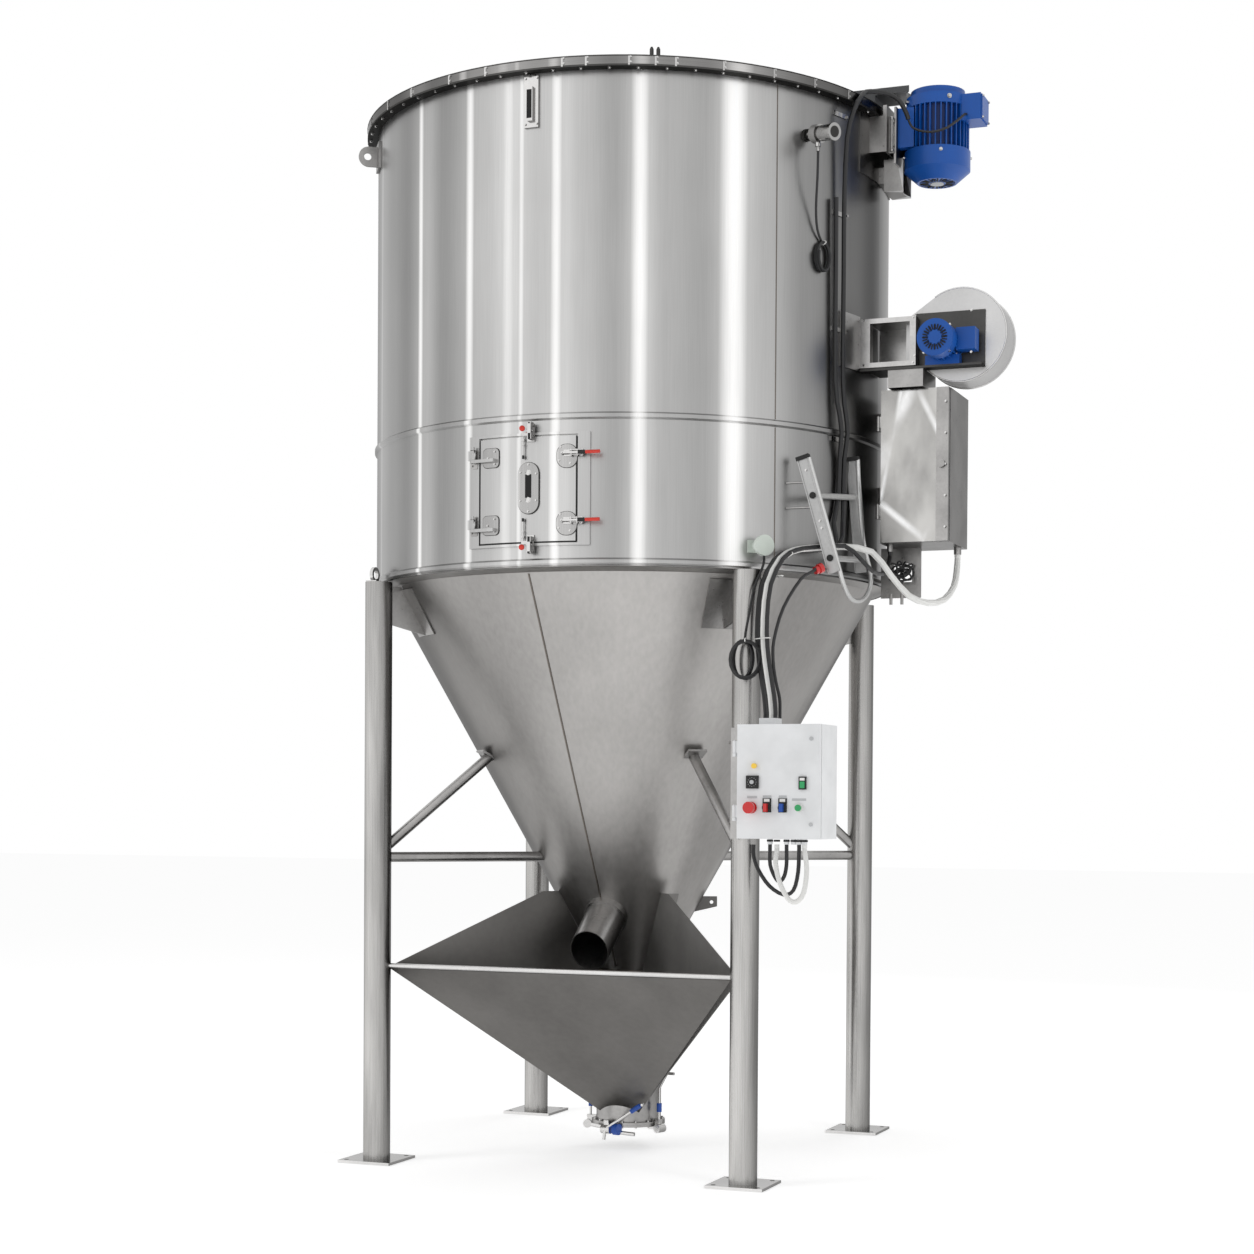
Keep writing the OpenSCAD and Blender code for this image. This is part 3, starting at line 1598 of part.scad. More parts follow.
// White sheaths: one from the cabinet to the box and one loop below the box.
module white_hoses() {
  color("white") {
    cord(smooth(concat(hose_start, beside(bundle, bundle_places[2])), 2), sheath_d, [0.6, 0.5, 0.3]);
    cord(smooth(hose_loop, 3), sheath_d - 6, [0, 1, 0.1]);
  }
}

coil_c = [907, -434.5, 3337];
turn_points = 10;
coil_pitch = 9;
function ring(c, u, rx, rz, n) = [for (i = [0:n - 1]) let (a = 90 - i * 360 / turn_points)
  c + rx * cos(a) * u + [0, 0, rz * sin(a)] + i * coil_pitch / turn_points * [u[1], -u[0], 0]];
low_coil = [752, -812, 1860];
up_lead = concat(down(920.6, -531.5, 3730.4), [[920, -531, 3690], [915, -520, 3600], [901, -490, 3500],
  [899, -466, 3430]]);
low_lead = concat(down(786, -708, 2231.5), [[788, -738, 2180], [778, -790, 2110], [768, -812, 2020]]);

// Thin leads of the two sensors, each with its spare length coiled and tied.
module sensor_cables() {
  color("black") {
    cord(smooth(concat(up_lead, ring(coil_c, [0.413, 0.911, 0], 32, 52, 19)), 3), thin_d,
      [0.86, -0.5, 0.1]);
    cord(smooth(concat(low_lead, ring(low_coil, [0.94, -0.34, 0], 42, 66, 21)), 3), thin_d, [0.3, 1, 0.1]);
  }
}

drum_shell();
top_flange();
lid();
belt_guard();
cone();
foot_tube();
cleanout_cover();
cleanout_clamps();
hopper_front();
hopper_left();
hopper_right();
hopper_rim();
discharge_spout();
leg_front_left();
leg_front_right();
leg_rear_right();
leg_rear_left();
front_braces();
rear_braces();
lifting_eyes();
hatch_frame();
hatch_door();
hatch_clamps();
sight_plate();
lid_latch();
lifting_lug();
main_motor();
motor_bracket();
upper_sensor();
lower_sensor();
blower_frame();
blower_motor();
blower_scroll();
air_duct();
heater_cabinet();
cabinet_door();
ladder();
control_box();
control_door();
control_rails();
switch_set();
drum_cables();
control_cables();
sensor_cables();
white_hoses();
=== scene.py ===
# %% [markdown]
# # A stainless vertical mixer, dressed on its CAD frame
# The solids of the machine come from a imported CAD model. This lesson leaves them where
# they are and gives them what a photograph shows and a solid can't: brushed and shiny
# steel, weld seams, bolts, cable ties, coloured buttons and soft studio light.

import math

import bmesh
import bpy
from mathutils import Matrix, Vector


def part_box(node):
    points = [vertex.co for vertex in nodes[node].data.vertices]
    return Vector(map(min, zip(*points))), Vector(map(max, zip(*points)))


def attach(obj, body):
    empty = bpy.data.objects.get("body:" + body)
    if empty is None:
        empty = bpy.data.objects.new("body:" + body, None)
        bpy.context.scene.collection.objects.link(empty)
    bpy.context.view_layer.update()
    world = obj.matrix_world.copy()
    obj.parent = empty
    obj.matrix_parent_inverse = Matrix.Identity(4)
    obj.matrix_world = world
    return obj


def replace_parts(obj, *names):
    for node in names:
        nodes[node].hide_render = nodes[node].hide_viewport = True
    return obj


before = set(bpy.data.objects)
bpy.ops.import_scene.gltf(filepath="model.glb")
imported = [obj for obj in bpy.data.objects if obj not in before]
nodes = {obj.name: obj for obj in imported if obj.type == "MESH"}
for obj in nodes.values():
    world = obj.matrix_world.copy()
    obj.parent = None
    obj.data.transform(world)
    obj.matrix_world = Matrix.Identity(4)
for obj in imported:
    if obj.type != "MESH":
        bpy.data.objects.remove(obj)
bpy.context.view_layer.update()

# %% [markdown]
# ## The camera
# The photograph was taken from the front right, a little below the middle of the
# machine, with a long lens held level. Upright lines stay upright in it, so the lens is
# shifted and not tilted. The same numbers give the same picture here.

# %% Camera
camera_data = bpy.data.cameras.new("photo camera")
camera_data.sensor_width = 36.0
camera_data.lens = 64.48
camera_data.shift_x = -0.03855
camera_data.shift_y = 0.17360
camera_data.clip_end = 200.0
camera = bpy.data.objects.new("photo camera", camera_data)
bpy.context.scene.collection.objects.link(camera)
camera.location = (3.3131, -8.257, 1.3486)
camera.rotation_euler = [math.radians(v) for v in (88.992, -0.369, 20.722)]
bpy.context.scene.camera = camera
print("camera", [round(v, 2) for v in camera.location])

# %% [markdown]
# ## Light
# A white studio wraps the machine in light. Camera, mirrors and glass see plain white,
# while matt surfaces get a softer dome, so that lamps can shape them. The lamps are kept
# out of mirrors, where they would burn white spots into the steel.

# %% World
def link(tree, a, b):
    tree.links.new(a, b)


def make_world():
    world = bpy.data.worlds.new("studio")
    world.use_nodes = True
    tree = world.node_tree
    tree.nodes.clear()
    out = tree.nodes.new("ShaderNodeOutputWorld")
    soft = tree.nodes.new("ShaderNodeBackground")
    soft.inputs["Color"].default_value = (1.0, 1.0, 1.0, 1.0)
    soft.inputs["Strength"].default_value = 0.55
    white = tree.nodes.new("ShaderNodeBackground")
    white.inputs["Color"].default_value = (1.0, 1.0, 1.0, 1.0)
    white.inputs["Strength"].default_value = 1.0
    path = tree.nodes.new("ShaderNodeLightPath")
    shiny = tree.nodes.new("ShaderNodeMath")
    shiny.operation = "MAXIMUM"
    any_white = tree.nodes.new("ShaderNodeMath")
    any_white.operation = "MAXIMUM"
    seen = tree.nodes.new("ShaderNodeMixShader")
    link(tree, path.outputs["Is Camera Ray"], shiny.inputs[0])
    link(tree, path.outputs["Is Glossy Ray"], shiny.inputs[1])
    link(tree, shiny.outputs[0], any_white.inputs[0])
    link(tree, path.outputs["Is Transmission Ray"], any_white.inputs[1])
    link(tree, any_white.outputs[0], seen.inputs[0])
    link(tree, soft.outputs[0], seen.inputs[1])
    link(tree, white.outputs[0], seen.inputs[2])
    link(tree, seen.outputs[0], out.inputs["Surface"])
    bpy.context.scene.world = world
    return world


world = make_world()
bpy.context.scene.view_settings.view_transform = "Standard"
print("world", world.name)

# %% [markdown]
# Three large lamps shape the matt parts: a key from the left, a weaker fill from the
# right and a rim from behind that parts the machine from its background. A lamp points
# along its own -Z, so its turn comes from the line to the spot that it aims at.

# %% Lamps
def area_lamp(name, place, aim, size, watts):
    lamp = bpy.data.lights.new(name, "AREA")
    lamp.shape = "RECTANGLE"
    lamp.size, lamp.size_y = size
    lamp.energy = watts
    thing = bpy.data.objects.new(name, lamp)
    bpy.context.scene.collection.objects.link(thing)
    thing.location = place
    thing.rotation_euler = (Vector(aim) - Vector(place)).to_track_quat("-Z", "Y").to_euler()
    thing.visible_glossy = False
    return thing


area_lamp("key from the left", (-6.0, -6.5, 5.5), (0.0, 0.0, 2.0), (3.0, 5.0), 150.0)
area_lamp("fill from the right", (7.0, -4.0, 4.0), (0.3, 0.0, 2.2), (2.0, 5.0), 70.0)
area_lamp("rim from behind", (1.5, 7.0, 5.0), (0.0, 0.0, 2.5), (4.0, 4.0), 80.0)

# %% [markdown]
# ## The floor
# The machine stands on nothing but a white sweep with a soft shadow. The floor is white
# to the camera and to mirrors, and a plain diffuse white to the light, so that the
# shadow of the four feet still shows on it.


# %% Floor
def make_floor():
    mesh = bmesh.new()
    bmesh.ops.create_grid(mesh, x_segments=1, y_segments=1, size=40.0)
    data = bpy.data.meshes.new("floor")
    mesh.to_mesh(data)
    mesh.free()
    floor = bpy.data.objects.new("floor", data)
    bpy.context.scene.collection.objects.link(floor)
    floor.location.z = -0.001
    paint = bpy.data.materials.new("floor white")
    paint.use_nodes = True
    shader = paint.node_tree.nodes["Principled BSDF"]
    shader.inputs["Base Color"].default_value = (0.93, 0.93, 0.93, 1.0)
    shader.inputs["Roughness"].default_value = 1.0
    shader.inputs["Specular IOR Level"].default_value = 0.0
    shader.inputs["Emission Color"].default_value = (1.0, 1.0, 1.0, 1.0)
    shader.inputs["Emission Strength"].default_value = 0.46
    data.materials.append(paint)
    return floor


floor = make_floor()
print("floor", floor.name)

# %% [markdown]
# ## Finishes
# Nearly all of the machine is stainless steel, yet no two pieces shine alike. The drum is
# smooth sheet with upright bands of painted reflection in its colour, the cone is dull and
# warmer, the legs are brushed lengthwise. One family of materials serves them all. It rests
# on four shared node groups: fine brush marks, broad cloudy patches from handling and
# rolling, painted reflection and shade round an upright axis, and a painted shade that
# differs on each side of a flat plate.


# %% Node helpers
def new_group(name, inputs, outputs):
    group = bpy.data.node_groups.new(name, "ShaderNodeTree")
    for socket, kind, value in inputs:
        made = group.interface.new_socket(socket, in_out="INPUT", socket_type=kind)
        made.default_value = value
    for socket, kind in outputs:
        group.interface.new_socket(socket, in_out="OUTPUT", socket_type=kind)
    start = group.nodes.new("NodeGroupInput")
    end = group.nodes.new("NodeGroupOutput")
    return group, start, end


def add(tree, kind, **settings):
    node = tree.nodes.new(kind)
    for key, value in settings.items():
        setattr(node, key, value)
    return node


def arithmetic(tree, operation, first, second):
    node = add(tree, "ShaderNodeMath", operation=operation)
    for socket, value in zip(node.inputs, (first, second)):
        if isinstance(value, (int, float)):
            socket.default_value = value
        else:
            link(tree, value, socket)
    return node.outputs[0]


# %% [markdown]
# Brush marks are a noise stretched along the way the belt ran. The stretch is an input,
# so the same group makes upright marks on the drum and level ones on a plate.


# %% Brush marks group
def make_brush_marks():
    group, start, end = new_group(
        "brush marks",
        (
            ("Stretch", "NodeSocketVector", (220.0, 220.0, 6.0)),
            ("Depth", "NodeSocketFloat", 0.5),
        ),
        (("Grain", "NodeSocketFloat"),),
    )
    where = add(group, "ShaderNodeTexCoord")
    stretch = add(group, "ShaderNodeVectorMath", operation="MULTIPLY")
    noise = add(group, "ShaderNodeTexNoise")
    noise.inputs["Scale"].default_value = 1.0
    noise.inputs["Detail"].default_value = 3.0
    link(group, where.outputs["Object"], stretch.inputs[0])
    link(group, start.outputs["Stretch"], stretch.inputs[1])
    link(group, stretch.outputs[0], noise.inputs["Vector"])
    centred = arithmetic(group, "SUBTRACT", noise.outputs[0], 0.5)
    link(group, arithmetic(group, "MULTIPLY", centred, start.outputs["Depth"]), end.inputs[0])
    return group


brush_marks = make_brush_marks()
print("group", brush_marks.name)

# %% [markdown]
# Cloudy patches are a low, slow noise. They shift the colour a little, which is what breaks
# up the reflections of a real sheet.


# %% Cloudy patches group
def make_clouds():
    group, start, end = new_group(
        "cloudy patches",
        (
            ("Size", "NodeSocketVector", (3.0, 3.0, 1.2)),
            ("Low", "NodeSocketFloat", 0.8),
            ("High", "NodeSocketFloat", 1.0),
        ),
        (("Shade", "NodeSocketFloat"),),
    )
    where = add(group, "ShaderNodeTexCoord")
    stretch = add(group, "ShaderNodeVectorMath", operation="MULTIPLY")
    noise = add(group, "ShaderNodeTexNoise")
    noise.inputs["Scale"].default_value = 1.0
    noise.inputs["Detail"].default_value = 4.0
    spread = add(group, "ShaderNodeMapRange")
    spread.inputs["From Min"].default_value = 0.35
    spread.inputs["From Max"].default_value = 0.65
    link(group, where.outputs["Object"], stretch.inputs[0])
    link(group, start.outputs["Size"], stretch.inputs[1])
    link(group, stretch.outputs[0], noise.inputs["Vector"])
    link(group, noise.outputs[0], spread.inputs["Value"])
    link(group, start.outputs["Low"], spread.inputs["To Min"])
    link(group, start.outputs["High"], spread.inputs["To Max"])
    link(group, spread.outputs[0], end.inputs[0])
    return group


clouds = make_clouds()
print("group", clouds.name)

# %% [markdown]
# The upright light and dark bands of the drum are painted reflections of the studio, laid
# into its colour. They are a colour ramp that runs once round the drum's axis. Each pair
# below is an angle in degrees, from the left side of the machine counter-clockwise, and a
# grey. The narrow bright streaks on top are painted highlights: an angle, half a width and
# a strength.

# %% Painted reflections round the drum
DRUM_PAINTED_REFLECTIONS = (
    (-180, 0.30),
    (-158, 0.13),
    (-148, 0.24),
    (-140, 0.46),
    (-132, 0.36),
    (-125, 0.28),
    (-117, 0.48),
    (-112, 0.31),
    (-100, 0.52),
    (-94, 0.66),
    (-88, 0.56),
    (-82, 0.64),
    (-79, 0.52),
    (-72, 0.40),
    (-66, 0.62),
    (-62, 0.46),
    (-54, 0.38),
    (-47, 0.58),
    (-40, 0.46),
    (-30, 0.28),
    (-14, 0.15),
    (-4, 0.05),
    (6, 0.24),
    (24, 0.50),
    (48, 0.75),
    (66, 0.38),
    (90, 0.62),
    (112, 0.30),
    (135, 0.60),
    (158, 0.70),
    (180, 0.30),
)
DRUM_PAINTED_HIGHLIGHTS = (
    (-141.0, 3.0, 0.60),
    (-119.3, 1.7, 0.96),
    (-104.1, 2.2, 0.94),
    (-94.6, 4.2, 0.80),
    (-91.6, 1.6, 0.88),
    (-84.0, 2.8, 0.98),
    (-66.9, 4.0, 1.00),
    (-47.4, 6.5, 1.00),
    (50.0, 6.0, 0.90),
    (92.0, 3.0, 0.95),
    (160.0, 5.0, 0.85),
)
# Painted shade round the cone, as a ramp of greys by angle like the drum's.
CONE_PAINTED_SHADE = (
    (-180, 0.26),
    (-155, 0.08),
    (-143, 0.20),
    (-128, 0.33),
    (-110, 0.40),
    (-85, 0.50),
    (-60, 0.56),
    (-42, 0.46),
    (-30, 0.32),
    (-12, 0.36),
    (4, 0.40),
    (14, 0.20),
    (50, 0.42),
    (90, 0.52),
    (130, 0.36),
    (180, 0.26),
)


# A ramp of painted light round an upright axis, with painted highlights laid over it.
def make_round_painted_light(title, bands, painted_highlights=()):
    group, start, end = new_group(
        title,
        (("Amount", "NodeSocketFloat", 1.0),),
        (("Shade", "NodeSocketFloat"),),
    )
    where = add(group, "ShaderNodeTexCoord")
    split = add(group, "ShaderNodeSeparateXYZ")
    ramp = add(group, "ShaderNodeValToRGB")
    ramp.color_ramp.interpolation = "EASE"
    stops = ramp.color_ramp.elements
    while len(stops) < len(bands):
        stops.new(0.5)
    for stop, (angle, grey) in zip(stops, bands):
        stop.position = (angle + 180.0) / 360.0
        stop.color = (grey, grey, grey, 1.0)
    link(group, where.outputs["Object"], split.inputs[0])
    angle = arithmetic(group, "ARCTAN2", split.outputs["Y"], split.outputs["X"])
    turn = arithmetic(group, "MULTIPLY", angle, 1.0 / (2.0 * math.pi))
    link(group, arithmetic(group, "ADD", turn, 0.5), ramp.inputs[0])
    level = ramp.outputs["Color"]
    for centre, half, strength in painted_highlights:
        off = arithmetic(group, "ABSOLUTE", arithmetic(group, "SUBTRACT", turn, centre / 360.0), 0.0)
        streak = add(group, "ShaderNodeMapRange", interpolation_type="SMOOTHSTEP")
        streak.inputs["From Max"].default_value = half / 360.0
        streak.inputs["To Min"].default_value = strength
        streak.inputs["To Max"].default_value = 0.0
        link(group, off, streak.inputs["Value"])
        level = arithmetic(group, "MAXIMUM", level, streak.outputs["Result"])
    dip = arithmetic(group, "SUBTRACT", 1.0, level)
    toned = arithmetic(group, "MULTIPLY", dip, start.outputs["Amount"])
    link(group, arithmetic(group, "SUBTRACT", 1.0, toned), end.inputs[0])
    return group


# Painted reflections round the drum, with painted highlights on top.
drum_painted_reflections = make_round_painted_light("painted reflections round the drum", DRUM_PAINTED_REFLECTIONS, DRUM_PAINTED_HIGHLIGHTS)
cone_painted_shade = make_round_painted_light("painted shade round the cone", CONE_PAINTED_SHADE)
print("groups", drum_painted_reflections.name, "and", cone_painted_shade.name)


# %% [markdown]
# A flat plate mirrors one patch of the studio, so each side of a box has one tone: the
# left and top are light, the right and the underside are in shade. The group reads the
# surface's own direction, compares it with the side the light comes from, and returns a
# factor. It turns legs and pipes into soft gradients in the same way.


# %% Side light
LIGHT_FROM = Vector((-0.62, -0.62, 0.48)).normalized()


def make_side_light():
    group, start, end = new_group(
        "side light",
        (("Shade Side", "NodeSocketFloat", 0.4),),
        (("Shade", "NodeSocketFloat"),),
    )
    where = add(group, "ShaderNodeTexCoord")
    toward = add(group, "ShaderNodeVectorMath", operation="DOT_PRODUCT")
    toward.inputs[1].default_value = LIGHT_FROM
    link(group, where.outputs["Normal"], toward.inputs[0])
    lit = add(group, "ShaderNodeMapRange", interpolation_type="SMOOTHSTEP")
    lit.inputs["From Min"].default_value = -0.95
    lit.inputs["From Max"].default_value = 0.85
    lit.inputs["To Max"].default_value = 1.0
    link(group, toward.outputs["Value"], lit.inputs["Value"])
    link(group, start.outputs["Shade Side"], lit.inputs["To Min"])
    link(group, lit.outputs["Result"], end.inputs[0])
    return group


side_light = make_side_light()
print("group", side_light.name)


# %% [markdown]
# A steel is the Principled shader at full metal. Its colour is a tint, darkened by the
# patches, the brush marks and painted light: the painted reflection and shade bands on round
# pieces, the painted shade of the side light on the rest. The marks also feed a very
# shallow bump, so that highlights break along them.


# %% Steel
MARKS_IN_COLOUR = 0.5
MARKS_IN_ROUGHNESS = 0.25
MARK_DEPTH = 0.0006


def steel(name, tint, roughness, stretch, depth=0.5, patch=(0.8, 1.0), size=(3.0, 3.0, 1.2),
          bands=None, shade_side=0.4, bump=0.15, metal=1.0, edge=0.6):
    paint = bpy.data.materials.new(name)
    paint.use_nodes = True
    tree = paint.node_tree
    shader = tree.nodes["Principled BSDF"]
    shader.inputs["Metallic"].default_value = metal
    shader.inputs["Specular Tint"].default_value = (edge, edge, edge, 1.0)
    grain = add(tree, "ShaderNodeGroup", node_tree=brush_marks)
    grain.inputs["Stretch"].default_value = stretch
    grain.inputs["Depth"].default_value = depth
    cloud = add(tree, "ShaderNodeGroup", node_tree=clouds)
    cloud.inputs["Size"].default_value = size
    cloud.inputs["Low"].default_value, cloud.inputs["High"].default_value = patch
    marks = arithmetic(tree, "MULTIPLY", grain.outputs["Grain"], MARKS_IN_COLOUR)
    shade = arithmetic(tree, "ADD", cloud.outputs["Shade"], marks)
    # Painted light: round pieces take painted reflection or shade bands, the rest the painted shade of
    # the side light.
    if bands:
        tone = add(tree, "ShaderNodeGroup", node_tree=bands)
    else:
        tone = add(tree, "ShaderNodeGroup", node_tree=side_light)
        tone.inputs["Shade Side"].default_value = shade_side
    shade = arithmetic(tree, "MULTIPLY", shade, tone.outputs["Shade"])
    colour = add(tree, "ShaderNodeMix", data_type="RGBA", blend_type="MULTIPLY")
    colour.inputs["Factor"].default_value = 1.0
    colour.inputs["A"].default_value = (*tint, 1.0)
    link(tree, shade, colour.inputs["B"])
    link(tree, colour.outputs["Result"], shader.inputs["Base Color"])
    uneven = arithmetic(tree, "MULTIPLY", grain.outputs["Grain"], MARKS_IN_ROUGHNESS)
    link(tree, arithmetic(tree, "ADD", uneven, roughness), shader.inputs["Roughness"])
    relief = add(tree, "ShaderNodeBump")
    relief.inputs["Strength"].default_value = bump
    relief.inputs["Distance"].default_value = MARK_DEPTH
    link(tree, grain.outputs["Grain"], relief.inputs["Height"])
    link(tree, relief.outputs[0], shader.inputs["Normal"])
    return paint

# %% [markdown]
# Each finish below is one call. The tint gives the depth of the steel, the roughness its
# polish, and the stretch the way its marks run: upright on the drum and the legs, level
# on rolled rings, and every way on small parts that were ground by hand.

# %% Steels of this machine
UPRIGHT = (260.0, 260.0, 4.0)
LEVEL = (5.0, 5.0, 300.0)
ROUGH_ALL = (90.0, 90.0, 90.0)
HOPPER_MARKS = (40.0, 40.0, 40.0)
SMALL_PATCHES = (7.0, 7.0, 7.0)

shell_steel = steel("drum steel", (1.0, 0.995, 0.985), 0.32, UPRIGHT, depth=0.35,
                    bands=drum_painted_reflections, patch=(0.95, 1.05), edge=0.75)
band_steel = steel("rolled ring steel", (0.60, 0.59, 0.58), 0.18, LEVEL, bands=drum_painted_reflections, edge=0.45)
cone_steel = steel("cone steel", (0.93, 0.905, 0.88), 0.40, (60.0, 60.0, 18.0), patch=(0.84, 1.0),
                   bands=cone_painted_shade)
# The hopper's tints are kept dark: painted dark reflection on its front and left walls, painted shade
# on its right wall inside.
hopper_steel_painted_dark_reflection = steel("hopper steel, painted dark reflection", (0.24, 0.232, 0.222), 0.40, HOPPER_MARKS, patch=(0.80, 1.0),
                     shade_side=0.5)
hopper_inner_painted_shade = steel("hopper inner steel, painted shade", (0.33, 0.32, 0.31), 0.45, HOPPER_MARKS,
                     patch=(0.75, 1.0), shade_side=0.6, metal=0.6)
leg_steel = steel("leg steel", (0.60, 0.59, 0.575), 0.27, UPRIGHT, depth=0.9, patch=(0.7, 1.0),
                  size=(14.0, 14.0, 1.5), shade_side=0.22)
plate_steel = steel("plate steel", (0.52, 0.51, 0.50), 0.30, ROUGH_ALL, patch=(0.74, 1.0),
                    size=SMALL_PATCHES)
bright_steel = steel("bright steel", (0.80, 0.79, 0.78), 0.17, ROUGH_ALL, depth=0.3,
                     patch=(0.85, 1.0), shade_side=0.3)
door_pad_steel = steel("door plate steel", (0.90, 0.89, 0.88), 0.20, UPRIGHT, bands=drum_painted_reflections,
                       patch=(0.84, 0.94))
frame_steel = steel("frame steel", (0.72, 0.71, 0.70), 0.30, ROUGH_ALL, patch=(0.80, 1.0),
                    size=SMALL_PATCHES)
# Dark steel serves dark parts and painted shade: the shadow under the lid strip, the fold line at the
# lid's edge, shadow lines round plates and the blower plate seen against the light.
dark_steel_and_painted_shade = steel("dark steel and painted shade", (0.10, 0.098, 0.095), 0.38, ROUGH_ALL, patch=(0.7, 1.0),
                   metal=0.85, edge=0.3)
weld_steel = steel("weld steel", (0.26, 0.235, 0.21), 0.42, (160.0, 160.0, 160.0), depth=1.2, bump=0.6)
aluminium = steel("ladder aluminium", (0.56, 0.56, 0.555), 0.36, ROUGH_ALL, patch=(0.78, 1.0),
                  shade_side=0.6, metal=0.55)
tube_alloy = steel("bent tube aluminium", (0.80, 0.80, 0.79), 0.32, ROUGH_ALL, patch=(0.9, 1.0),
                   shade_side=0.6, metal=0.55)
scroll_steel = steel("scroll sheet", (0.76, 0.755, 0.75), 0.40, ROUGH_ALL, depth=0.2,
                     patch=(0.85, 1.0), size=(3.0, 3.0, 3.0), shade_side=0.7, metal=0.7)
print("steels", [m.name for m in bpy.data.materials if "steel" in m.name])


# %% [markdown]
# Paints and plastics differ from steel in one way only: they don't conduct. A paint has
# a clear coat over its colour and a faint orange peel, a plastic is plain and duller.


# %% Paints and plastics
def paint_or_plastic(name, colour, roughness, coat=0.0, peel=0.0, glow=0.0):
    paint = bpy.data.materials.new(name)
    paint.use_nodes = True
    tree = paint.node_tree
    shader = tree.nodes["Principled BSDF"]
    cloud = add(tree, "ShaderNodeGroup", node_tree=clouds)
    cloud.inputs["Size"].default_value = (9.0, 9.0, 9.0)
    cloud.inputs["Low"].default_value, cloud.inputs["High"].default_value = 0.9, 1.0
    mixed = add(tree, "ShaderNodeMix", data_type="RGBA", blend_type="MULTIPLY")
    mixed.inputs["Factor"].default_value = 1.0
    mixed.inputs["A"].default_value = (*colour, 1.0)
    link(tree, cloud.outputs["Shade"], mixed.inputs["B"])
    link(tree, mixed.outputs["Result"], shader.inputs["Base Color"])
    shader.inputs["Roughness"].default_value = roughness
    shader.inputs["Coat Weight"].default_value = coat
    shader.inputs["Coat Roughness"].default_value = 0.12
    if peel:
        grain = add(tree, "ShaderNodeGroup", node_tree=brush_marks)
        grain.inputs["Stretch"].default_value = (180.0, 180.0, 180.0)
        relief = add(tree, "ShaderNodeBump")
        relief.inputs["Strength"].default_value = peel
        relief.inputs["Distance"].default_value = 0.0005
        link(tree, grain.outputs["Grain"], relief.inputs["Height"])
        link(tree, relief.outputs[0], shader.inputs["Normal"])
    if glow:
        shader.inputs["Emission Color"].default_value = (*colour, 1.0)
        shader.inputs["Emission Strength"].default_value = glow
    return paint


motor_blue = paint_or_plastic("motor blue", (0.0, 0.075, 0.36), 0.42, coat=0.05, peel=0.3)
motor_shade = paint_or_plastic("motor blue, painted shade between the fins", (0.002, 0.020, 0.11), 0.55)
box_white = paint_or_plastic("box white", (0.78, 0.79, 0.80), 0.42, coat=0.10, peel=0.15)
cable_black = paint_or_plastic("cable black", (0.012, 0.012, 0.013), 0.45)
hose_white = paint_or_plastic("hose white", (0.80, 0.80, 0.78), 0.5)
rubber_black = paint_or_plastic("rubber black", (0.015, 0.015, 0.015), 0.7)
guard_dark = paint_or_plastic("belt guard paint", (0.05, 0.052, 0.055), 0.45, coat=0.2)
grip_blue = paint_or_plastic("grip blue", (0.01, 0.07, 0.36), 0.45)
grip_red = paint_or_plastic("grip red", (0.62, 0.035, 0.02), 0.38)
lamp_yellow = paint_or_plastic("lamp yellow", (0.80, 0.52, 0.05), 0.25, coat=0.5, glow=0.15)
button_green = paint_or_plastic("button green", (0.03, 0.35, 0.12), 0.35)
button_red = paint_or_plastic("button red", (0.58, 0.015, 0.015), 0.32, coat=0.4)
label_grey = paint_or_plastic("blank strip", (0.50, 0.51, 0.52), 0.5)
sensor_cream = paint_or_plastic("sensor housing", (0.66, 0.72, 0.66), 0.4)
# Slots and grille openings are filled with painted shade.
openings_painted_shade = paint_or_plastic("painted shade in openings", (0.006, 0.006, 0.006), 0.8)
print("paints", len(bpy.data.materials))

# %% [markdown]
# ## Painting the CAD nodes
# A node keeps its mesh as it is and gets one finish, or a few: some nodes hold a grip, a
# tip or a button in another colour. Those faces are picked by where they lie, with a
# small test for each, so that nothing in the mesh changes but its paint.


# %% Finish for each node
def finish_node(name, paint):
    data = nodes[name].data
    data.materials.clear()
    data.materials.append(paint)


def repaint(name, paint, inside):
    """Faces of a node whose middle passes the test take another finish."""
    data = nodes[name].data
    data.materials.append(paint)
    index = len(data.materials) - 1
    count = 0
    for face in data.polygons:
        if inside(face.center):
            face.material_index = index
            count += 1
    return count


FINISHES = (
    (shell_steel, ("drum_shell",)),
    (band_steel, ("lid",)),
    # The flange is painted dark as the shadow under the lid's strip.
    (dark_steel_and_painted_shade, ("top_flange",)),
    (guard_dark, ("belt_guard",)),
    (cone_steel, ("cone",)),
    (hopper_steel_painted_dark_reflection, ("hopper_front", "hopper_left")),
    (hopper_inner_painted_shade, ("hopper_right",)),
    (bright_steel, ("hopper_rim", "lifting_eyes", "hatch_clamps", "lid_latch", "cleanout_clamps")),
    (leg_steel, ("leg_front_left", "leg_front_right", "leg_rear_right", "leg_rear_left")),
    (plate_steel, ("front_braces", "rear_braces", "foot_tube", "cleanout_cover")),
    (plate_steel, ("lifting_lug", "discharge_spout", "motor_bracket", "air_duct")),
    (plate_steel, ("heater_cabinet", "control_rails")),
    (frame_steel, ("blower_frame",)),
    (shell_steel, ("hatch_door", "hatch_frame")),
    (bright_steel, ("sight_plate", "cabinet_door")),
    (motor_blue, ("main_motor", "blower_motor")),
    (scroll_steel, ("blower_scroll",)),
    (aluminium, ("ladder",)),
    (box_white, ("control_box", "control_door")),
    (sensor_cream, ("upper_sensor", "lower_sensor")),
    (rubber_black, ("switch_set",)),
    (cable_black, ("drum_cables", "control_cables", "sensor_cables")),
    (hose_white, ("white_hoses",)),
)
for paint, names in FINISHES:
    for name in names:
        finish_node(name, paint)
FOOT_PLATE_TOP = 0.02
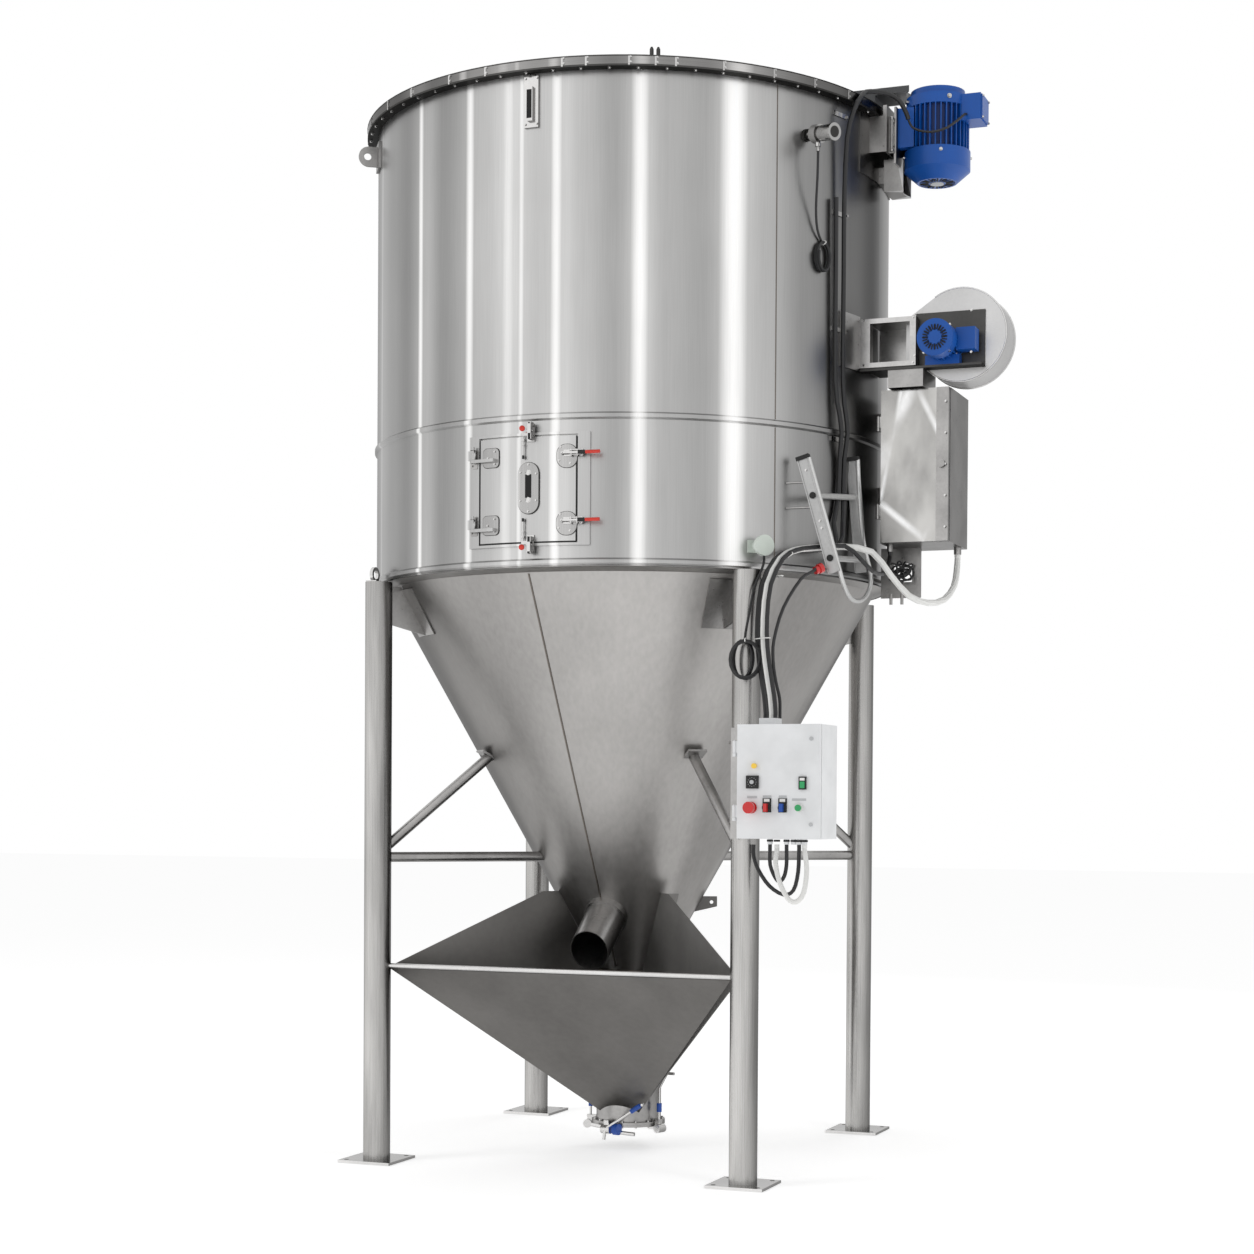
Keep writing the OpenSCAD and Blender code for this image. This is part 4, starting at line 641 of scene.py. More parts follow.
for corner in ("front_left", "front_right", "rear_right", "rear_left"):
    repaint("leg_" + corner, bright_steel, lambda p: p.z < FOOT_PLATE_TOP)
finished = sum(len(names) for paint, names in FINISHES)
print("finished nodes", finished, "of", len(nodes))

# %% [markdown]
# ## Small pieces
# Everything below is fixed to a CAD solid. A piece is built in place as a bmesh, made an
# object at the origin, painted, and told which body it rides on. Two little tools do most
# of the work: one turns a shape so that its axis points a given way, the other stacks a
# washer and a six-sided head to make a bolt.


# %% Piece helpers
def finish_piece(name, mesh, paint, body="plant"):
    data = bpy.data.meshes.new(name)
    bmesh.ops.recalc_face_normals(mesh, faces=mesh.faces)
    mesh.to_mesh(data)
    mesh.free()
    data.materials.append(paint)
    piece = bpy.data.objects.new(name, data)
    bpy.context.scene.collection.objects.link(piece)
    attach(piece, body)
    return piece


def facing(place, direction):
    turn = Vector(direction).to_track_quat("Z", "Y").to_matrix().to_4x4()
    return Matrix.Translation(Vector(place)) @ turn


def stub(mesh, place, direction, width, height, sides=24, taper=1.0):
    """A round bar that starts at place and grows along direction."""
    middle = facing(place, direction) @ Matrix.Translation((0.0, 0.0, height / 2.0))
    bmesh.ops.create_cone(mesh, cap_ends=True, segments=sides, radius1=width / 2.0,
                          radius2=width / 2.0 * taper, depth=height, matrix=middle)


def bolt(mesh, place, direction, width=0.016):
    stub(mesh, place, direction, width * 1.5, width * 0.18, 16)
    lifted = Vector(place) + Vector(direction).normalized() * width * 0.16
    stub(mesh, lifted, direction, width * 1.12, width * 0.6, 6)


def block(mesh, low, high, place=Matrix()):
    """A box between two corners, in the directions that place gives."""
    size = [b - a for a, b in zip(low, high)]
    middle = Matrix.Translation([(a + b) / 2.0 for a, b in zip(low, high)])
    bmesh.ops.create_cube(mesh, size=1.0, matrix=place @ middle @ Matrix.Diagonal((*size, 1.0)))


def round_drum(angle):
    """A turn about the drum's axis."""
    return Matrix.Rotation(math.radians(angle), 4, "Z")


def on_drum(angle, radius, height):
    a = math.radians(angle)
    return Vector((radius * math.cos(a), radius * math.sin(a), height))


def outward(angle):
    return on_drum(angle, 1.0, 0.0)


def rod(name, points, width, paint, body="plant", smooth=False, closed=False):
    """A round bead or wire along points, made from a curve with a bevel."""
    curve = bpy.data.curves.new(name, "CURVE")
    curve.dimensions = "3D"
    curve.bevel_depth = width / 2.0
    curve.bevel_resolution = 2
    curve.use_fill_caps = True
    spline = curve.splines.new("NURBS" if smooth else "POLY")
    spline.points.add(len(points) - 1)
    for spot, point in zip(spline.points, points):
        spot.co = (*point, 1.0)
    spline.use_cyclic_u = closed
    if smooth:
        spline.order_u = 4
        spline.use_endpoint_u = not closed
        spline.resolution_u = 6
    maker = bpy.data.objects.new(name, curve)
    bpy.context.scene.collection.objects.link(maker)
    shaped = maker.evaluated_get(bpy.context.evaluated_depsgraph_get())
    data = bpy.data.meshes.new_from_object(shaped)
    bpy.data.objects.remove(maker)
    data.name = name
    data.materials.clear()
    data.materials.append(paint)
    piece = bpy.data.objects.new(name, data)
    bpy.context.scene.collection.objects.link(piece)
    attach(piece, body)
    return piece


print("helpers ready")

# %% [markdown]
# ## Driving sizes
# These few lengths repeat the machine's own: the drum's radius and heights, where the
# hatch stands, and the cone's slope. Places that depend on a node are read from its box.

# %% Sizes from the frame
DRUM_R = 1.0
drum_low, drum_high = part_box("drum_shell")
DRUM_Z0 = drum_low.z
DRUM_Z1 = drum_high.z
CONE_R0, CONE_R1 = 0.128, 0.950
CONE_Z0, CONE_Z1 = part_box("cone")[0].z, DRUM_Z0 - 0.016
BEAD_Z = DRUM_Z0 + 0.524
HATCH_Z = DRUM_Z0 + 0.269
LEG_XY = 1.0352 / math.sqrt(2.0)
LEG_D = 0.1016


def cone_radius(height):
    return CONE_R0 + (CONE_R1 - CONE_R0) * (height - CONE_Z0) / (CONE_Z1 - CONE_Z0)


print("drum", round(DRUM_Z0, 3), "to", round(DRUM_Z1, 3), "cone from", round(CONE_Z0, 3))

# %% [markdown]
# ## Weld seams
# The drum is rolled from sheets, so it has an upright seam, and the cone another one at
# the front. A seam is a thin rod sunk in the sheet, so that only a flat bead stands out.

# %% Weld seams
SHELL_SEAMS = (-37.6, 82.4, 202.4)
CONE_SEAMS = (-91.0, 29.0, 149.0)
SEAM_SPANS = (("low", DRUM_Z0 + 0.03, BEAD_Z - 0.015), ("high", BEAD_Z + 0.015, DRUM_Z1 - 0.008))
for number, angle in enumerate(SHELL_SEAMS):
    for part, low, high in SEAM_SPANS:
        line = [on_drum(angle, DRUM_R - 0.0005, z) for z in (low, high)]
        rod(f"drum_seam_{part}_{number}", line, 0.005, weld_steel)
for number, angle in enumerate(CONE_SEAMS):
    line = [on_drum(angle, cone_radius(z) - 0.001, z) for z in (CONE_Z0 + 0.02, CONE_Z1 - 0.004)]
    rod(f"cone_seam_{number}", line, 0.008, weld_steel)
ring = [on_drum(a, CONE_R0 + 0.001, CONE_Z0 - 0.002) for a in range(0, 360, 6)]
rod("foot_weld", ring, 0.009, weld_steel, closed=True)
ring = [on_drum(a, DRUM_R - 0.001, DRUM_Z0 - 0.001) for a in range(0, 360, 3)]
rod("drum_cone_weld", ring, 0.006, band_steel, closed=True)
print("seams", len(SHELL_SEAMS) + len(CONE_SEAMS) + 2)

# %% [markdown]
# ## The lid's edge
# A strip in segments runs round the turned-down edge of the lid. Each joint has an upright
# tab with a screw, and under it a screw holds lid and flange together. Small bolts close
# the row of holes from below. A dark bead of painted shade draws the fold at the lid's top
# edge, and the flange under the strip is painted dark as its shadow.

# %% Lid strip and bolts
RIM_BOLTS = 64
RIM_R = DRUM_R + 0.042
STRIP_JOINTS = (-142.0, -129.7, -119.5, -107.8, -98.7, -82.3, -77.6,
                -69.3, -64.2, -60.3, -50.8, -40.0, -30.0, -20.0)
lid_low, lid_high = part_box("lid")
strip_angles = list(STRIP_JOINTS) + list(range(-6, 212, 11))


def make_rim_bolts():
    mesh = bmesh.new()
    for i in range(RIM_BOLTS):
        angle = i * 360.0 / RIM_BOLTS
        bolt(mesh, on_drum(angle, DRUM_R + 0.028, DRUM_Z1 - 0.006), (0.0, 0.0, -1.0), 0.009)
    return finish_piece("rim_bolts", mesh, bright_steel)


def make_strip_tabs():
    mesh = bmesh.new()
    for angle in strip_angles:
        low = (RIM_R - 0.002, -0.003, lid_low.z + 0.002)
        high = (RIM_R + 0.0016, 0.003, lid_high.z - 0.003)
        block(mesh, low, high, round_drum(angle))
        for up in (0.006, 0.024):
            spot = on_drum(angle + 0.3, RIM_R - 0.0005, lid_low.z + up)
            bolt(mesh, spot, outward(angle + 0.3), 0.006)
    return finish_piece("lid_strip_tabs", mesh, bright_steel)


def make_flange_screws():
    mesh = bmesh.new()
    for angle in strip_angles:
        bolt(mesh, on_drum(angle, DRUM_R + 0.038, DRUM_Z1 - 0.001), outward(angle), 0.007)
    return finish_piece("flange_screws", mesh, bright_steel)


rim_bolts = make_rim_bolts()
make_strip_tabs()
make_flange_screws()
# A dark line of painted shade along the fold at the lid's top edge.
fold_shade_line = [on_drum(a, RIM_R - 0.0015, lid_high.z - 0.0005) for a in range(0, 360, 3)]
rod("lid_edge_shade_line", fold_shade_line, 0.006, dark_steel_and_painted_shade, closed=True)
print("rim bolts", len(rim_bolts.data.polygons), "faces")

# %% [markdown]
# Two pairs of threaded studs stand on the lid, one near the front and one opposite. Each
# is a washer, a bar and a slightly narrowed tip, stacked along Z.

# %% Lid studs
def make_lid_studs():
    mesh = bmesh.new()
    for angle in (-64.9, -63.6, 115.1, 116.4):
        spot = on_drum(angle, DRUM_R + 0.020, lid_high.z)
        stub(mesh, spot, (0, 0, 1), 0.024, 0.006, 20)
        stub(mesh, spot, (0, 0, 1), 0.014, 0.028, 16)
        stub(mesh, spot + Vector((0, 0, 0.028)), (0, 0, 1), 0.014, 0.008, 16, 0.5)
    return finish_piece("lid_studs", mesh, dark_steel_and_painted_shade)


make_lid_studs()
print("studs on the lid")

# %% [markdown]
# ## The hatch
# A curved door hangs on two hinges at its left, and toggle clamps press it on a rubber
# seal. The seal is what draws the dark line round the door. Rounded plates carry the
# hinges and clamps, with a few screws each, and an oval plate frames the sight slot.

# %% Hatch sizes
DOOR_A = 10.5
DOOR_H = 0.368
DOOR_R = 1.0114
SEAL_R = 1.0085
door_top, door_low = HATCH_Z + DOOR_H / 2.0, HATCH_Z - DOOR_H / 2.0
for number, side in enumerate((-DOOR_A - 0.12, DOOR_A + 0.14)):
    line = [on_drum(-90 + side, SEAL_R, z) for z in (door_low - 0.002, door_top)]
    rod(f"hatch_seal_side_{number}", line, 0.0055, rubber_black)
line = [on_drum(-90 - DOOR_A + i * DOOR_A / 6.0, SEAL_R, door_low - 0.002) for i in range(13)]
rod("hatch_seal_foot", line, 0.0065, rubber_black)
print("hatch from", round(door_low, 3), "to", round(door_top, 3))

# %% [markdown]
# The pads under hinges and clamps are sheet with round corners. A cube is flattened and
# its four upright edges are bevelled, which keeps the faces flat and the corners round.
# A darker pad, a little larger and lower, shows as a thin shadow line round each.

# %% Hatch plates and screws
def curved_pad(mesh, angle, height, width, tall, radius, thick=0.003, corner=0.012):
    """A small plate that lies flat against the drum, with rounded corners."""
    made = bmesh.ops.create_cube(mesh, size=1.0, matrix=Matrix.Diagonal((width, tall, thick, 1.0)))
    upright = [e for e in mesh.edges if set(e.verts) <= set(made["verts"]) and
               abs((e.verts[0].co - e.verts[1].co).normalized().z) > 0.9]
    bevelled = bmesh.ops.bevel(mesh, geom=upright, offset=corner, offset_type="OFFSET", segments=6,
                               profile=0.5, affect="EDGES", material=-1)
    verts = {v for f in bevelled["faces"] for v in f.verts} | {v for v in made["verts"] if v.is_valid}
    place = facing(on_drum(angle, radius + thick / 2.0, height), outward(angle))
    bmesh.ops.transform(mesh, matrix=place, verts=list(verts))


# Each pad: its angle, height, width, height of the plate, corner and thickness.
HINGE_ROWS = (2.338, 2.577)
CLAMP_ROWS = (2.345, 2.581)
DOOR_PADS = [(-97.9, row, 0.066, 0.068, 0.016, 0.003) for row in HINGE_ROWS]
DOOR_PADS += [(-81.3, row - 0.009, 0.074, 0.082, 0.034, 0.003) for row in CLAMP_ROWS]


def make_pads(name, paint, grow, lift):
    mesh = bmesh.new()
    for angle, height, width, tall, corner, thick in DOOR_PADS:
        curved_pad(mesh, angle, height, width + grow, tall + grow, DOOR_R, thick + lift, corner)
    return finish_piece(name, mesh, paint, "hatch")


def make_pad_screws():
    mesh = bmesh.new()
    for height in HINGE_ROWS:
        for side, up in ((-97.0, 0.022), (-97.0, -0.022), (-98.6, 0.0)):
            bolt(mesh, on_drum(side, DOOR_R + 0.003, height + up), outward(side), 0.006)
    for height in CLAMP_ROWS:
        for side, up in ((-82.9, -0.025), (-80.6, -0.035), (-82.6, 0.022)):
            bolt(mesh, on_drum(side, DOOR_R + 0.003, height + up), outward(side), 0.006)
    return finish_piece("pad_screws", mesh, bright_steel, "hatch")


def make_hinge_leaves():
    mesh = bmesh.new()
    for height in HINGE_ROWS:
        curved_pad(mesh, -102.1, height, 0.030, 0.068, DRUM_R + 0.0095, 0.003, 0.005)
        for up in (0.022, -0.022):
            bolt(mesh, on_drum(-102.6, DRUM_R + 0.012, height + up), outward(-102.6), 0.006)
    return finish_piece("hinge_leaves", mesh, plate_steel)


make_pads("hatch_pads", door_pad_steel, 0.0, 0.0005)
make_pads("hatch_pad_edges", dark_steel_and_painted_shade, 0.003, -0.0008)
make_pad_screws()
make_hinge_leaves()
print("pads on the door", len(DOOR_PADS))

# %% [markdown]
# The sight slot sits in an oval plate. It is a cube with its upright edges bevelled until
# they meet, which makes a stadium, and it stands for the plain plate of the CAD model.

# %% Sight plate
SLOT_A, SLOT_Z = -89.3, 2.467
OVAL_SCREWS = ((0, 0.079), (0, -0.086), (-1.7, 0.052), (1.7, 0.046), (-1.7, -0.048), (1.7, -0.048))


def make_sight_plate():
    mesh = bmesh.new()
    curved_pad(mesh, SLOT_A, SLOT_Z - 0.004, 0.078, 0.180, DOOR_R + 0.0002, 0.007, 0.0385)
    return finish_piece("sight_plate_oval", mesh, door_pad_steel, "hatch")


# A darker oval, a little larger and lower, shows as a painted shadow line round the plate.
def make_sight_shadow_line():
    mesh = bmesh.new()
    curved_pad(mesh, SLOT_A, SLOT_Z - 0.004, 0.082, 0.184, DOOR_R, 0.0040, 0.0405)
    return finish_piece("sight_plate_shadow_line", mesh, dark_steel_and_painted_shade, "hatch")


# The sight slot is a dark pad of painted shade.
def make_sight_slot():
    mesh = bmesh.new()
    curved_pad(mesh, SLOT_A, SLOT_Z + 0.003, 0.0235, 0.083, DOOR_R + 0.0062, 0.002, 0.003)
    return finish_piece("sight_slot", mesh, openings_painted_shade, "hatch")


def make_sight_screws():
    mesh = bmesh.new()
    for side, up in OVAL_SCREWS:
        bolt(mesh, on_drum(SLOT_A + side, DOOR_R + 0.0065, SLOT_Z + up), outward(SLOT_A + side), 0.006)
    for up in (0.050, -0.045):
        spot = on_drum(SLOT_A, DOOR_R + 0.0072, SLOT_Z + up)
        stub(mesh, spot, outward(SLOT_A), 0.021, 0.003, 20, 0.6)
    return finish_piece("sight_screws", mesh, bright_steel, "hatch")


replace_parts(make_sight_plate(), "sight_plate")
make_sight_shadow_line()
make_sight_slot()
make_sight_screws()
print("hatch dressed")

# %% [markdown]
# Four toggle clamps hold the door. Each has a base, two cheeks with pins, a link and a
# handle. Two lie level beside the door with thin red handles, and two stand upright with
# a red ball. A clamp is built flat, lengthwise along X and standing up along Z, and then
# turned on to the drum. Steel, red and black are three meshes.


# %% Toggle clamps
LEVEL_TURN, UP_TURN = 0.0, 90.0
UPPER_BALL_Z, LOWER_BALL_Z = 2.640, 2.283


def clamp_place(angle, height, turn):
    return facing(on_drum(angle, DOOR_R, height), outward(angle)) @ round_drum(turn)


def pin(mesh, place, start, run, width, sides=16, taper=1.0):
    """A round bar in the clamp's own directions."""
    length = Vector(run).length
    stub(mesh, place @ Vector(start), place.to_3x3() @ Vector(run), width, length, sides, taper)


def level_clamp(steel_part, red_part, black_part, place):
    block(steel_part, (-0.018, -0.012, 0.002), (0.050, 0.012, 0.007), place)
    for side in (-0.0085, 0.0065):
        block(steel_part, (0.006, side, 0.006), (0.058, side + 0.002, 0.024), place)
    block(steel_part, (-0.024, -0.0035, 0.015), (0.070, 0.0035, 0.023), place)
    for along_x in (0.012, 0.034, 0.052):
        pin(steel_part, place, (along_x, -0.012, 0.017), (0.0, 0.024, 0.0), 0.007)
    pin(steel_part, place, (-0.021, 0.0, 0.003), (0.0, 0.0, 0.024), 0.006)
    pin(steel_part, place, (-0.021, 0.0, 0.010), (0.0, 0.0, 0.005), 0.012, 6)
    block(black_part, (0.038, -0.007, 0.0235), (0.063, 0.007, 0.0285), place)
    pin(black_part, place, (-0.021, 0.0, 0.0005), (0.0, 0.0, 0.006), 0.013)
    pin(red_part, place, (0.066, 0.0, 0.0245), (0.052, 0.0, 0.006), 0.0125, 20)


ROD_OFF = 0.022


def upright_clamp(steel_part, red_part, black_part, place):
    block(steel_part, (-0.014, -0.019, 0.0), (0.048, 0.009, 0.006), place)
    for side in (-0.016, -0.004):
        block(steel_part, (-0.008, side, 0.005), (0.052, side + 0.0025, 0.030), place)
    for along_x, up in ((0.002, 0.014), (0.022, 0.022), (0.042, 0.014)):
        pin(steel_part, place, (along_x, -0.020, up), (0.0, 0.024, 0.0), 0.008)
    block(steel_part, (0.012, -0.0155, 0.020), (0.046, -0.0045, 0.033), place)
    block(black_part, (-0.007, -0.014, 0.006), (0.050, -0.0035, 0.0285), place)
    pin(steel_part, place, (-0.066, ROD_OFF, 0.010), (0.084, 0.0, 0.0), 0.0055)
    pin(steel_part, place, (-0.012, ROD_OFF, 0.010), (0.008, 0.0, 0.0), 0.012, 6)
    pin(steel_part, place, (-0.028, ROD_OFF, 0.010), (0.005, 0.0, 0.0), 0.010, 6)
    block(steel_part, (0.006, 0.004, 0.007), (0.018, ROD_OFF + 0.005, 0.013), place)
    pin(steel_part, place, (0.030, 0.0, 0.024), (0.0, 0.014, 0.004), 0.005)
    pin(black_part, place, (-0.074, ROD_OFF, 0.010), (0.012, 0.0, 0.0), 0.0085)
    ball = place @ Matrix.Translation((0.030, 0.018, 0.030))
    bmesh.ops.create_uvsphere(red_part, u_segments=20, v_segments=12, radius=0.0105, matrix=ball)


def make_clamps():
    steel_part, red_part, black_part = bmesh.new(), bmesh.new(), bmesh.new()
    for height in CLAMP_ROWS:
        level_clamp(steel_part, red_part, black_part, clamp_place(-80.9, height, LEVEL_TURN))
    upper = clamp_place(-89.1, UPPER_BALL_Z, UP_TURN)
    lower = clamp_place(-89.1, LOWER_BALL_Z, -UP_TURN) @ Matrix.Diagonal((1.0, -1.0, 1.0, 1.0))
    for place in (upper, lower):
        upright_clamp(steel_part, red_part, black_part, place)
    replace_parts(finish_piece("toggle_clamps", steel_part, bright_steel, "hatch"), "hatch_clamps")
    finish_piece("clamp_grips", red_part, grip_red, "hatch")
    finish_piece("clamp_tips", black_part, rubber_black, "hatch")


make_clamps()
print("clamps on the door", len(CLAMP_ROWS) + 2)

# %% [markdown]
# The latch plate under the rim has a long slot with a rod behind it. The slot is a thin
# dark box of painted shade on the plate's face, since nothing can be seen through it.

# %% Lid latch slot
latch_low, latch_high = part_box("lid_latch")


def make_latch_slot():
    mesh = bmesh.new()
    front = latch_low.y - 0.0006
    block(mesh, (0.000, front, latch_low.z + 0.030), (0.019, front + 0.004, latch_low.z + 0.130))
    return finish_piece("latch_slot", mesh, openings_painted_shade)


def make_latch_bolts():
    mesh = bmesh.new()
    for side in (-0.010, 0.034):
        for up in (0.012, 0.172):
            bolt(mesh, (side, latch_low.y + 0.0135, latch_low.z + up), (0, -1, 0), 0.007)
    return finish_piece("latch_bolts", mesh, bright_steel)


make_latch_slot()
make_latch_bolts()
latch_rod = [(0.0253, -DRUM_R - 0.012, z) for z in (latch_high.z - 0.004, DRUM_Z1 - 0.010)]
rod("latch_rod", latch_rod, 0.006, dark_steel_and_painted_shade)
print("latch at", [round(v, 3) for v in latch_low])

# %% [markdown]
# ## The motors
# Both motors are blue castings. The solids already have fins, a cowl and a terminal box.
# What they lack is the air grille in the cowl, the screws and the lifting eye. A grille
# reads as dark slots of painted shade round a pale hub.

# %% Main motor
motor_low, motor_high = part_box("main_motor")
MOTOR_X = DRUM_R + 0.223
MOTOR_Z0 = motor_low.z
FIN_Z0, FIN_Z1 = MOTOR_Z0 + 0.112, MOTOR_Z0 + 0.270
COWL_R = 0.123
SLOTS = 24


def make_grille(name, centre, axis, reach, size):
    """Dark slots of painted shade, like spokes round the middle of a cowl."""
    mesh = bmesh.new()
    slot = Matrix.Translation(reach) @ Matrix.Diagonal((*size, 1.0))
    for i in range(SLOTS):
        turn = Matrix.Rotation(math.radians(i * 360 / SLOTS), 4, axis)
        bmesh.ops.create_cube(mesh, size=1.0, matrix=Matrix.Translation(centre) @ turn @ slot)
    return finish_piece(name, mesh, openings_painted_shade)


def make_motor_hub():
    mesh = bmesh.new()
    stub(mesh, (MOTOR_X, 0, MOTOR_Z0 + 0.001), (0, 0, -1), 0.050, 0.005, 32)
    return finish_piece("motor_hub", mesh, label_grey)


def make_motor_fittings():
    mesh = bmesh.new()
    for angle in (20, 110, 200, 290):
        spot = Vector((MOTOR_X, 0, FIN_Z0 - 0.018)) + outward(angle) * (COWL_R - 0.001)
        bolt(mesh, spot, outward(angle), 0.009)
        spot = Vector((MOTOR_X, 0, FIN_Z1 + 0.022)) + outward(angle + 15) * 0.1175
        bolt(mesh, spot, outward(angle + 15), 0.012)
    box_face = motor_high.x
    for side in (-0.046, 0.046):
        for up in (-0.052, 0.026):
            bolt(mesh, (box_face - 0.0005, side, FIN_Z1 + up), (1, 0, 0), 0.007)
    return finish_piece("motor_fittings", mesh, bright_steel)


def make_lifting_eye():
    mesh = bmesh.new()
    top = Vector((MOTOR_X, 0, motor_high.z))
    stub(mesh, top - Vector((0, 0, 0.002)), (0, 0, 1), 0.026, 0.008, 16)
    section = Matrix.Translation((MOTOR_X + 0.014, 0, motor_high.z + 0.022))
    bmesh.ops.create_circle(mesh, segments=12, radius=0.0045, cap_ends=False,
                            matrix=section @ Matrix.Rotation(math.pi / 2.0, 4, "X"))
    ring = [e for e in mesh.edges if e.is_boundary]
    verts = list({v for e in ring for v in e.verts})
    bmesh.ops.spin(mesh, geom=ring + verts, cent=top + Vector((0, 0, 0.022)), axis=(0, 1, 0),
                   angle=2.0 * math.pi, steps=24, use_merge=True)
    return finish_piece("motor_lifting_eye", mesh, motor_blue)


make_grille("motor_grille", (MOTOR_X, 0, MOTOR_Z0), "Z", (0.050, 0, 0.0005), (0.034, 0.006, 0.003))
make_motor_hub()
make_motor_fittings()
make_lifting_eye()
# The body between the fins is painted a darker blue as shade.
shaded = repaint("main_motor", motor_shade, lambda p: FIN_Z0 < p.z < FIN_Z1 and
                 math.hypot(p.x - MOTOR_X, p.y) < 0.106)
repaint("motor_bracket", scroll_steel, lambda p: p.z < 3.746 and p.x > DRUM_R + 0.078)
print("motor at", round(MOTOR_X, 3), "shaded faces", shaded)

# %% [markdown]
# The fan's own motor is a small copy of the main one, lying down. Its grille uses the
# same function with the spokes turned about Y.

# %% Blower motor
FAN_X = DRUM_R + 0.298
FAN_Z = 3.046
blower_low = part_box("blower_motor")[0]


def make_blower_fittings():
    mesh = bmesh.new()
    for angle in (45, 135, 225, 315):
        a = math.radians(angle)
        bolt(mesh, (FAN_X + 0.066 * math.cos(a), blower_low.y + 0.03, FAN_Z + 0.066 * math.sin(a)),
             (math.cos(a), 0, math.sin(a)), 0.008)
    for side in (-0.05, 0.05):
        bolt(mesh, (FAN_X + side, -0.190, blower_low.z + 0.0335), (0, 0, 1), 0.008)
    return finish_piece("blower_fittings", mesh, bright_steel)


fan_front = (FAN_X, blower_low.y, FAN_Z)
make_grille("blower_grille", fan_front, "Y", (0.037, -0.0003, 0), (0.019, 0.003, 0.0046))
make_blower_fittings()
print("blower front at", round(blower_low.y, 3))

# %% [markdown]
# ## Blower and its frame
# The scroll is a light sheet-metal drum with a raised lip on both edges. The plate that
# carries the fan's motor and the shelf under it are darker, seen against the light.

# %% Scroll lips
SCROLL_X, SCROLL_Z, SCROLL_R = FAN_X + 0.053, FAN_Z + 0.038, 0.172
scroll_low, scroll_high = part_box("blower_scroll")
frame_low, frame_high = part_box("blower_frame")


def scroll_ring(depth, radius):
    """The scroll's round edge, left open where the outlet starts."""
    middle = Vector((SCROLL_X, depth, SCROLL_Z))
    angles = [math.radians(a) for a in range(-134, 125, 6)]
    return [middle + radius * Vector((math.cos(a), 0.0, math.sin(a))) for a in angles]


for number, depth in enumerate((scroll_low.y + 0.002, scroll_high.y - 0.002)):
    rod(f"scroll_lip_{number}", scroll_ring(depth, SCROLL_R), 0.006, bright_steel)


def on_fan_plate_or_shelf(p):
    return (p.x > 1.19 and p.y > -0.1575) or p.z < frame_low.z + 0.0125


darkened = repaint("blower_frame", dark_steel_and_painted_shade, on_fan_plate_or_shelf)


def make_frame_bolts():
    mesh = bmesh.new()
    for side in (1.000, 1.188):
        for up in (frame_low.z + 0.022, frame_high.z - 0.022):
            bolt(mesh, (side, -0.2015, up), (0, -1, 0), 0.006)
    for side in (1.215, 1.425):
        for up in (frame_low.z + 0.03, frame_high.z - 0.03):
            bolt(mesh, (side, frame_low.y + 0.0520, up), (0, -1, 0), 0.006)
    return finish_piece("frame_bolts", mesh, bright_steel)


make_frame_bolts()
print("scroll centre", round(SCROLL_X, 3), round(SCROLL_Z, 3), "dark faces", darkened)

# %% [markdown]
# ## The heater cabinet
# Its door still wears the protective film, loose and creased. The creases catch the
# light as sharp bright folds. They follow the edges of a turned and stretched cell
# pattern, some of them wiped out by cloudy patches, and only the door has them.

# %% Film on the door
film = steel("cabinet film", (0.66, 0.65, 0.63), 0.20, (8.0, 8.0, 8.0), depth=0.6,
             patch=(0.55, 0.95), size=(6.0, 6.0, 3.0), bump=0.0)


def crease(paint, size, height, bright):
    """Folds bend the normal, and the sharper ones are painted bright."""
    tree = paint.node_tree
    shader = tree.nodes["Principled BSDF"]
    where = add(tree, "ShaderNodeTexCoord")
    turned = add(tree, "ShaderNodeMapping")
    turned.inputs["Rotation"].default_value = (0.5, 0.4, 0.9)
    turned.inputs["Scale"].default_value = (1.0, 1.0, 0.45)
    pattern = add(tree, "ShaderNodeTexVoronoi", feature="DISTANCE_TO_EDGE")
    pattern.inputs["Scale"].default_value = size
    crest = add(tree, "ShaderNodeMapRange", interpolation_type="SMOOTHSTEP")
    crest.inputs["From Max"].default_value = 0.055
    crest.inputs["To Min"].default_value = 1.0
    crest.inputs["To Max"].default_value = 0.0
    some = add(tree, "ShaderNodeGroup", node_tree=clouds)
    some.inputs["Size"].default_value = (5.0, 5.0, 3.0)
    some.inputs["Low"].default_value = -0.3
    fold = add(tree, "ShaderNodeMix", data_type="RGBA")
    fold.inputs["B"].default_value = (bright, bright, bright, 1.0)
    relief = add(tree, "ShaderNodeBump")
    relief.inputs["Strength"].default_value = 0.5
    relief.inputs["Distance"].default_value = height
    link(tree, where.outputs["Object"], turned.inputs["Vector"])
    link(tree, turned.outputs[0], pattern.inputs["Vector"])
    link(tree, pattern.outputs[0], crest.inputs["Value"])
    folds = arithmetic(tree, "MULTIPLY", crest.outputs[0], some.outputs["Shade"])
    link(tree, folds, fold.inputs["Factor"])
    link(tree, shader.inputs["Base Color"].links[0].from_socket, fold.inputs["A"])
    link(tree, fold.outputs["Result"], shader.inputs["Base Color"])
    link(tree, pattern.outputs[0], relief.inputs["Height"])
    link(tree, relief.outputs[0], shader.inputs["Normal"])


crease(film, 5.0, 0.010, 0.97)
finish_node("cabinet_door", film)
cab_low, cab_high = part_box("cabinet_door")
HEM_RIGHT, HEM_LEFT = cab_high.x - 0.047, cab_low.x + 0.017
hem = repaint("cabinet_door", plate_steel, lambda p: p.x > HEM_RIGHT or p.x < HEM_LEFT)


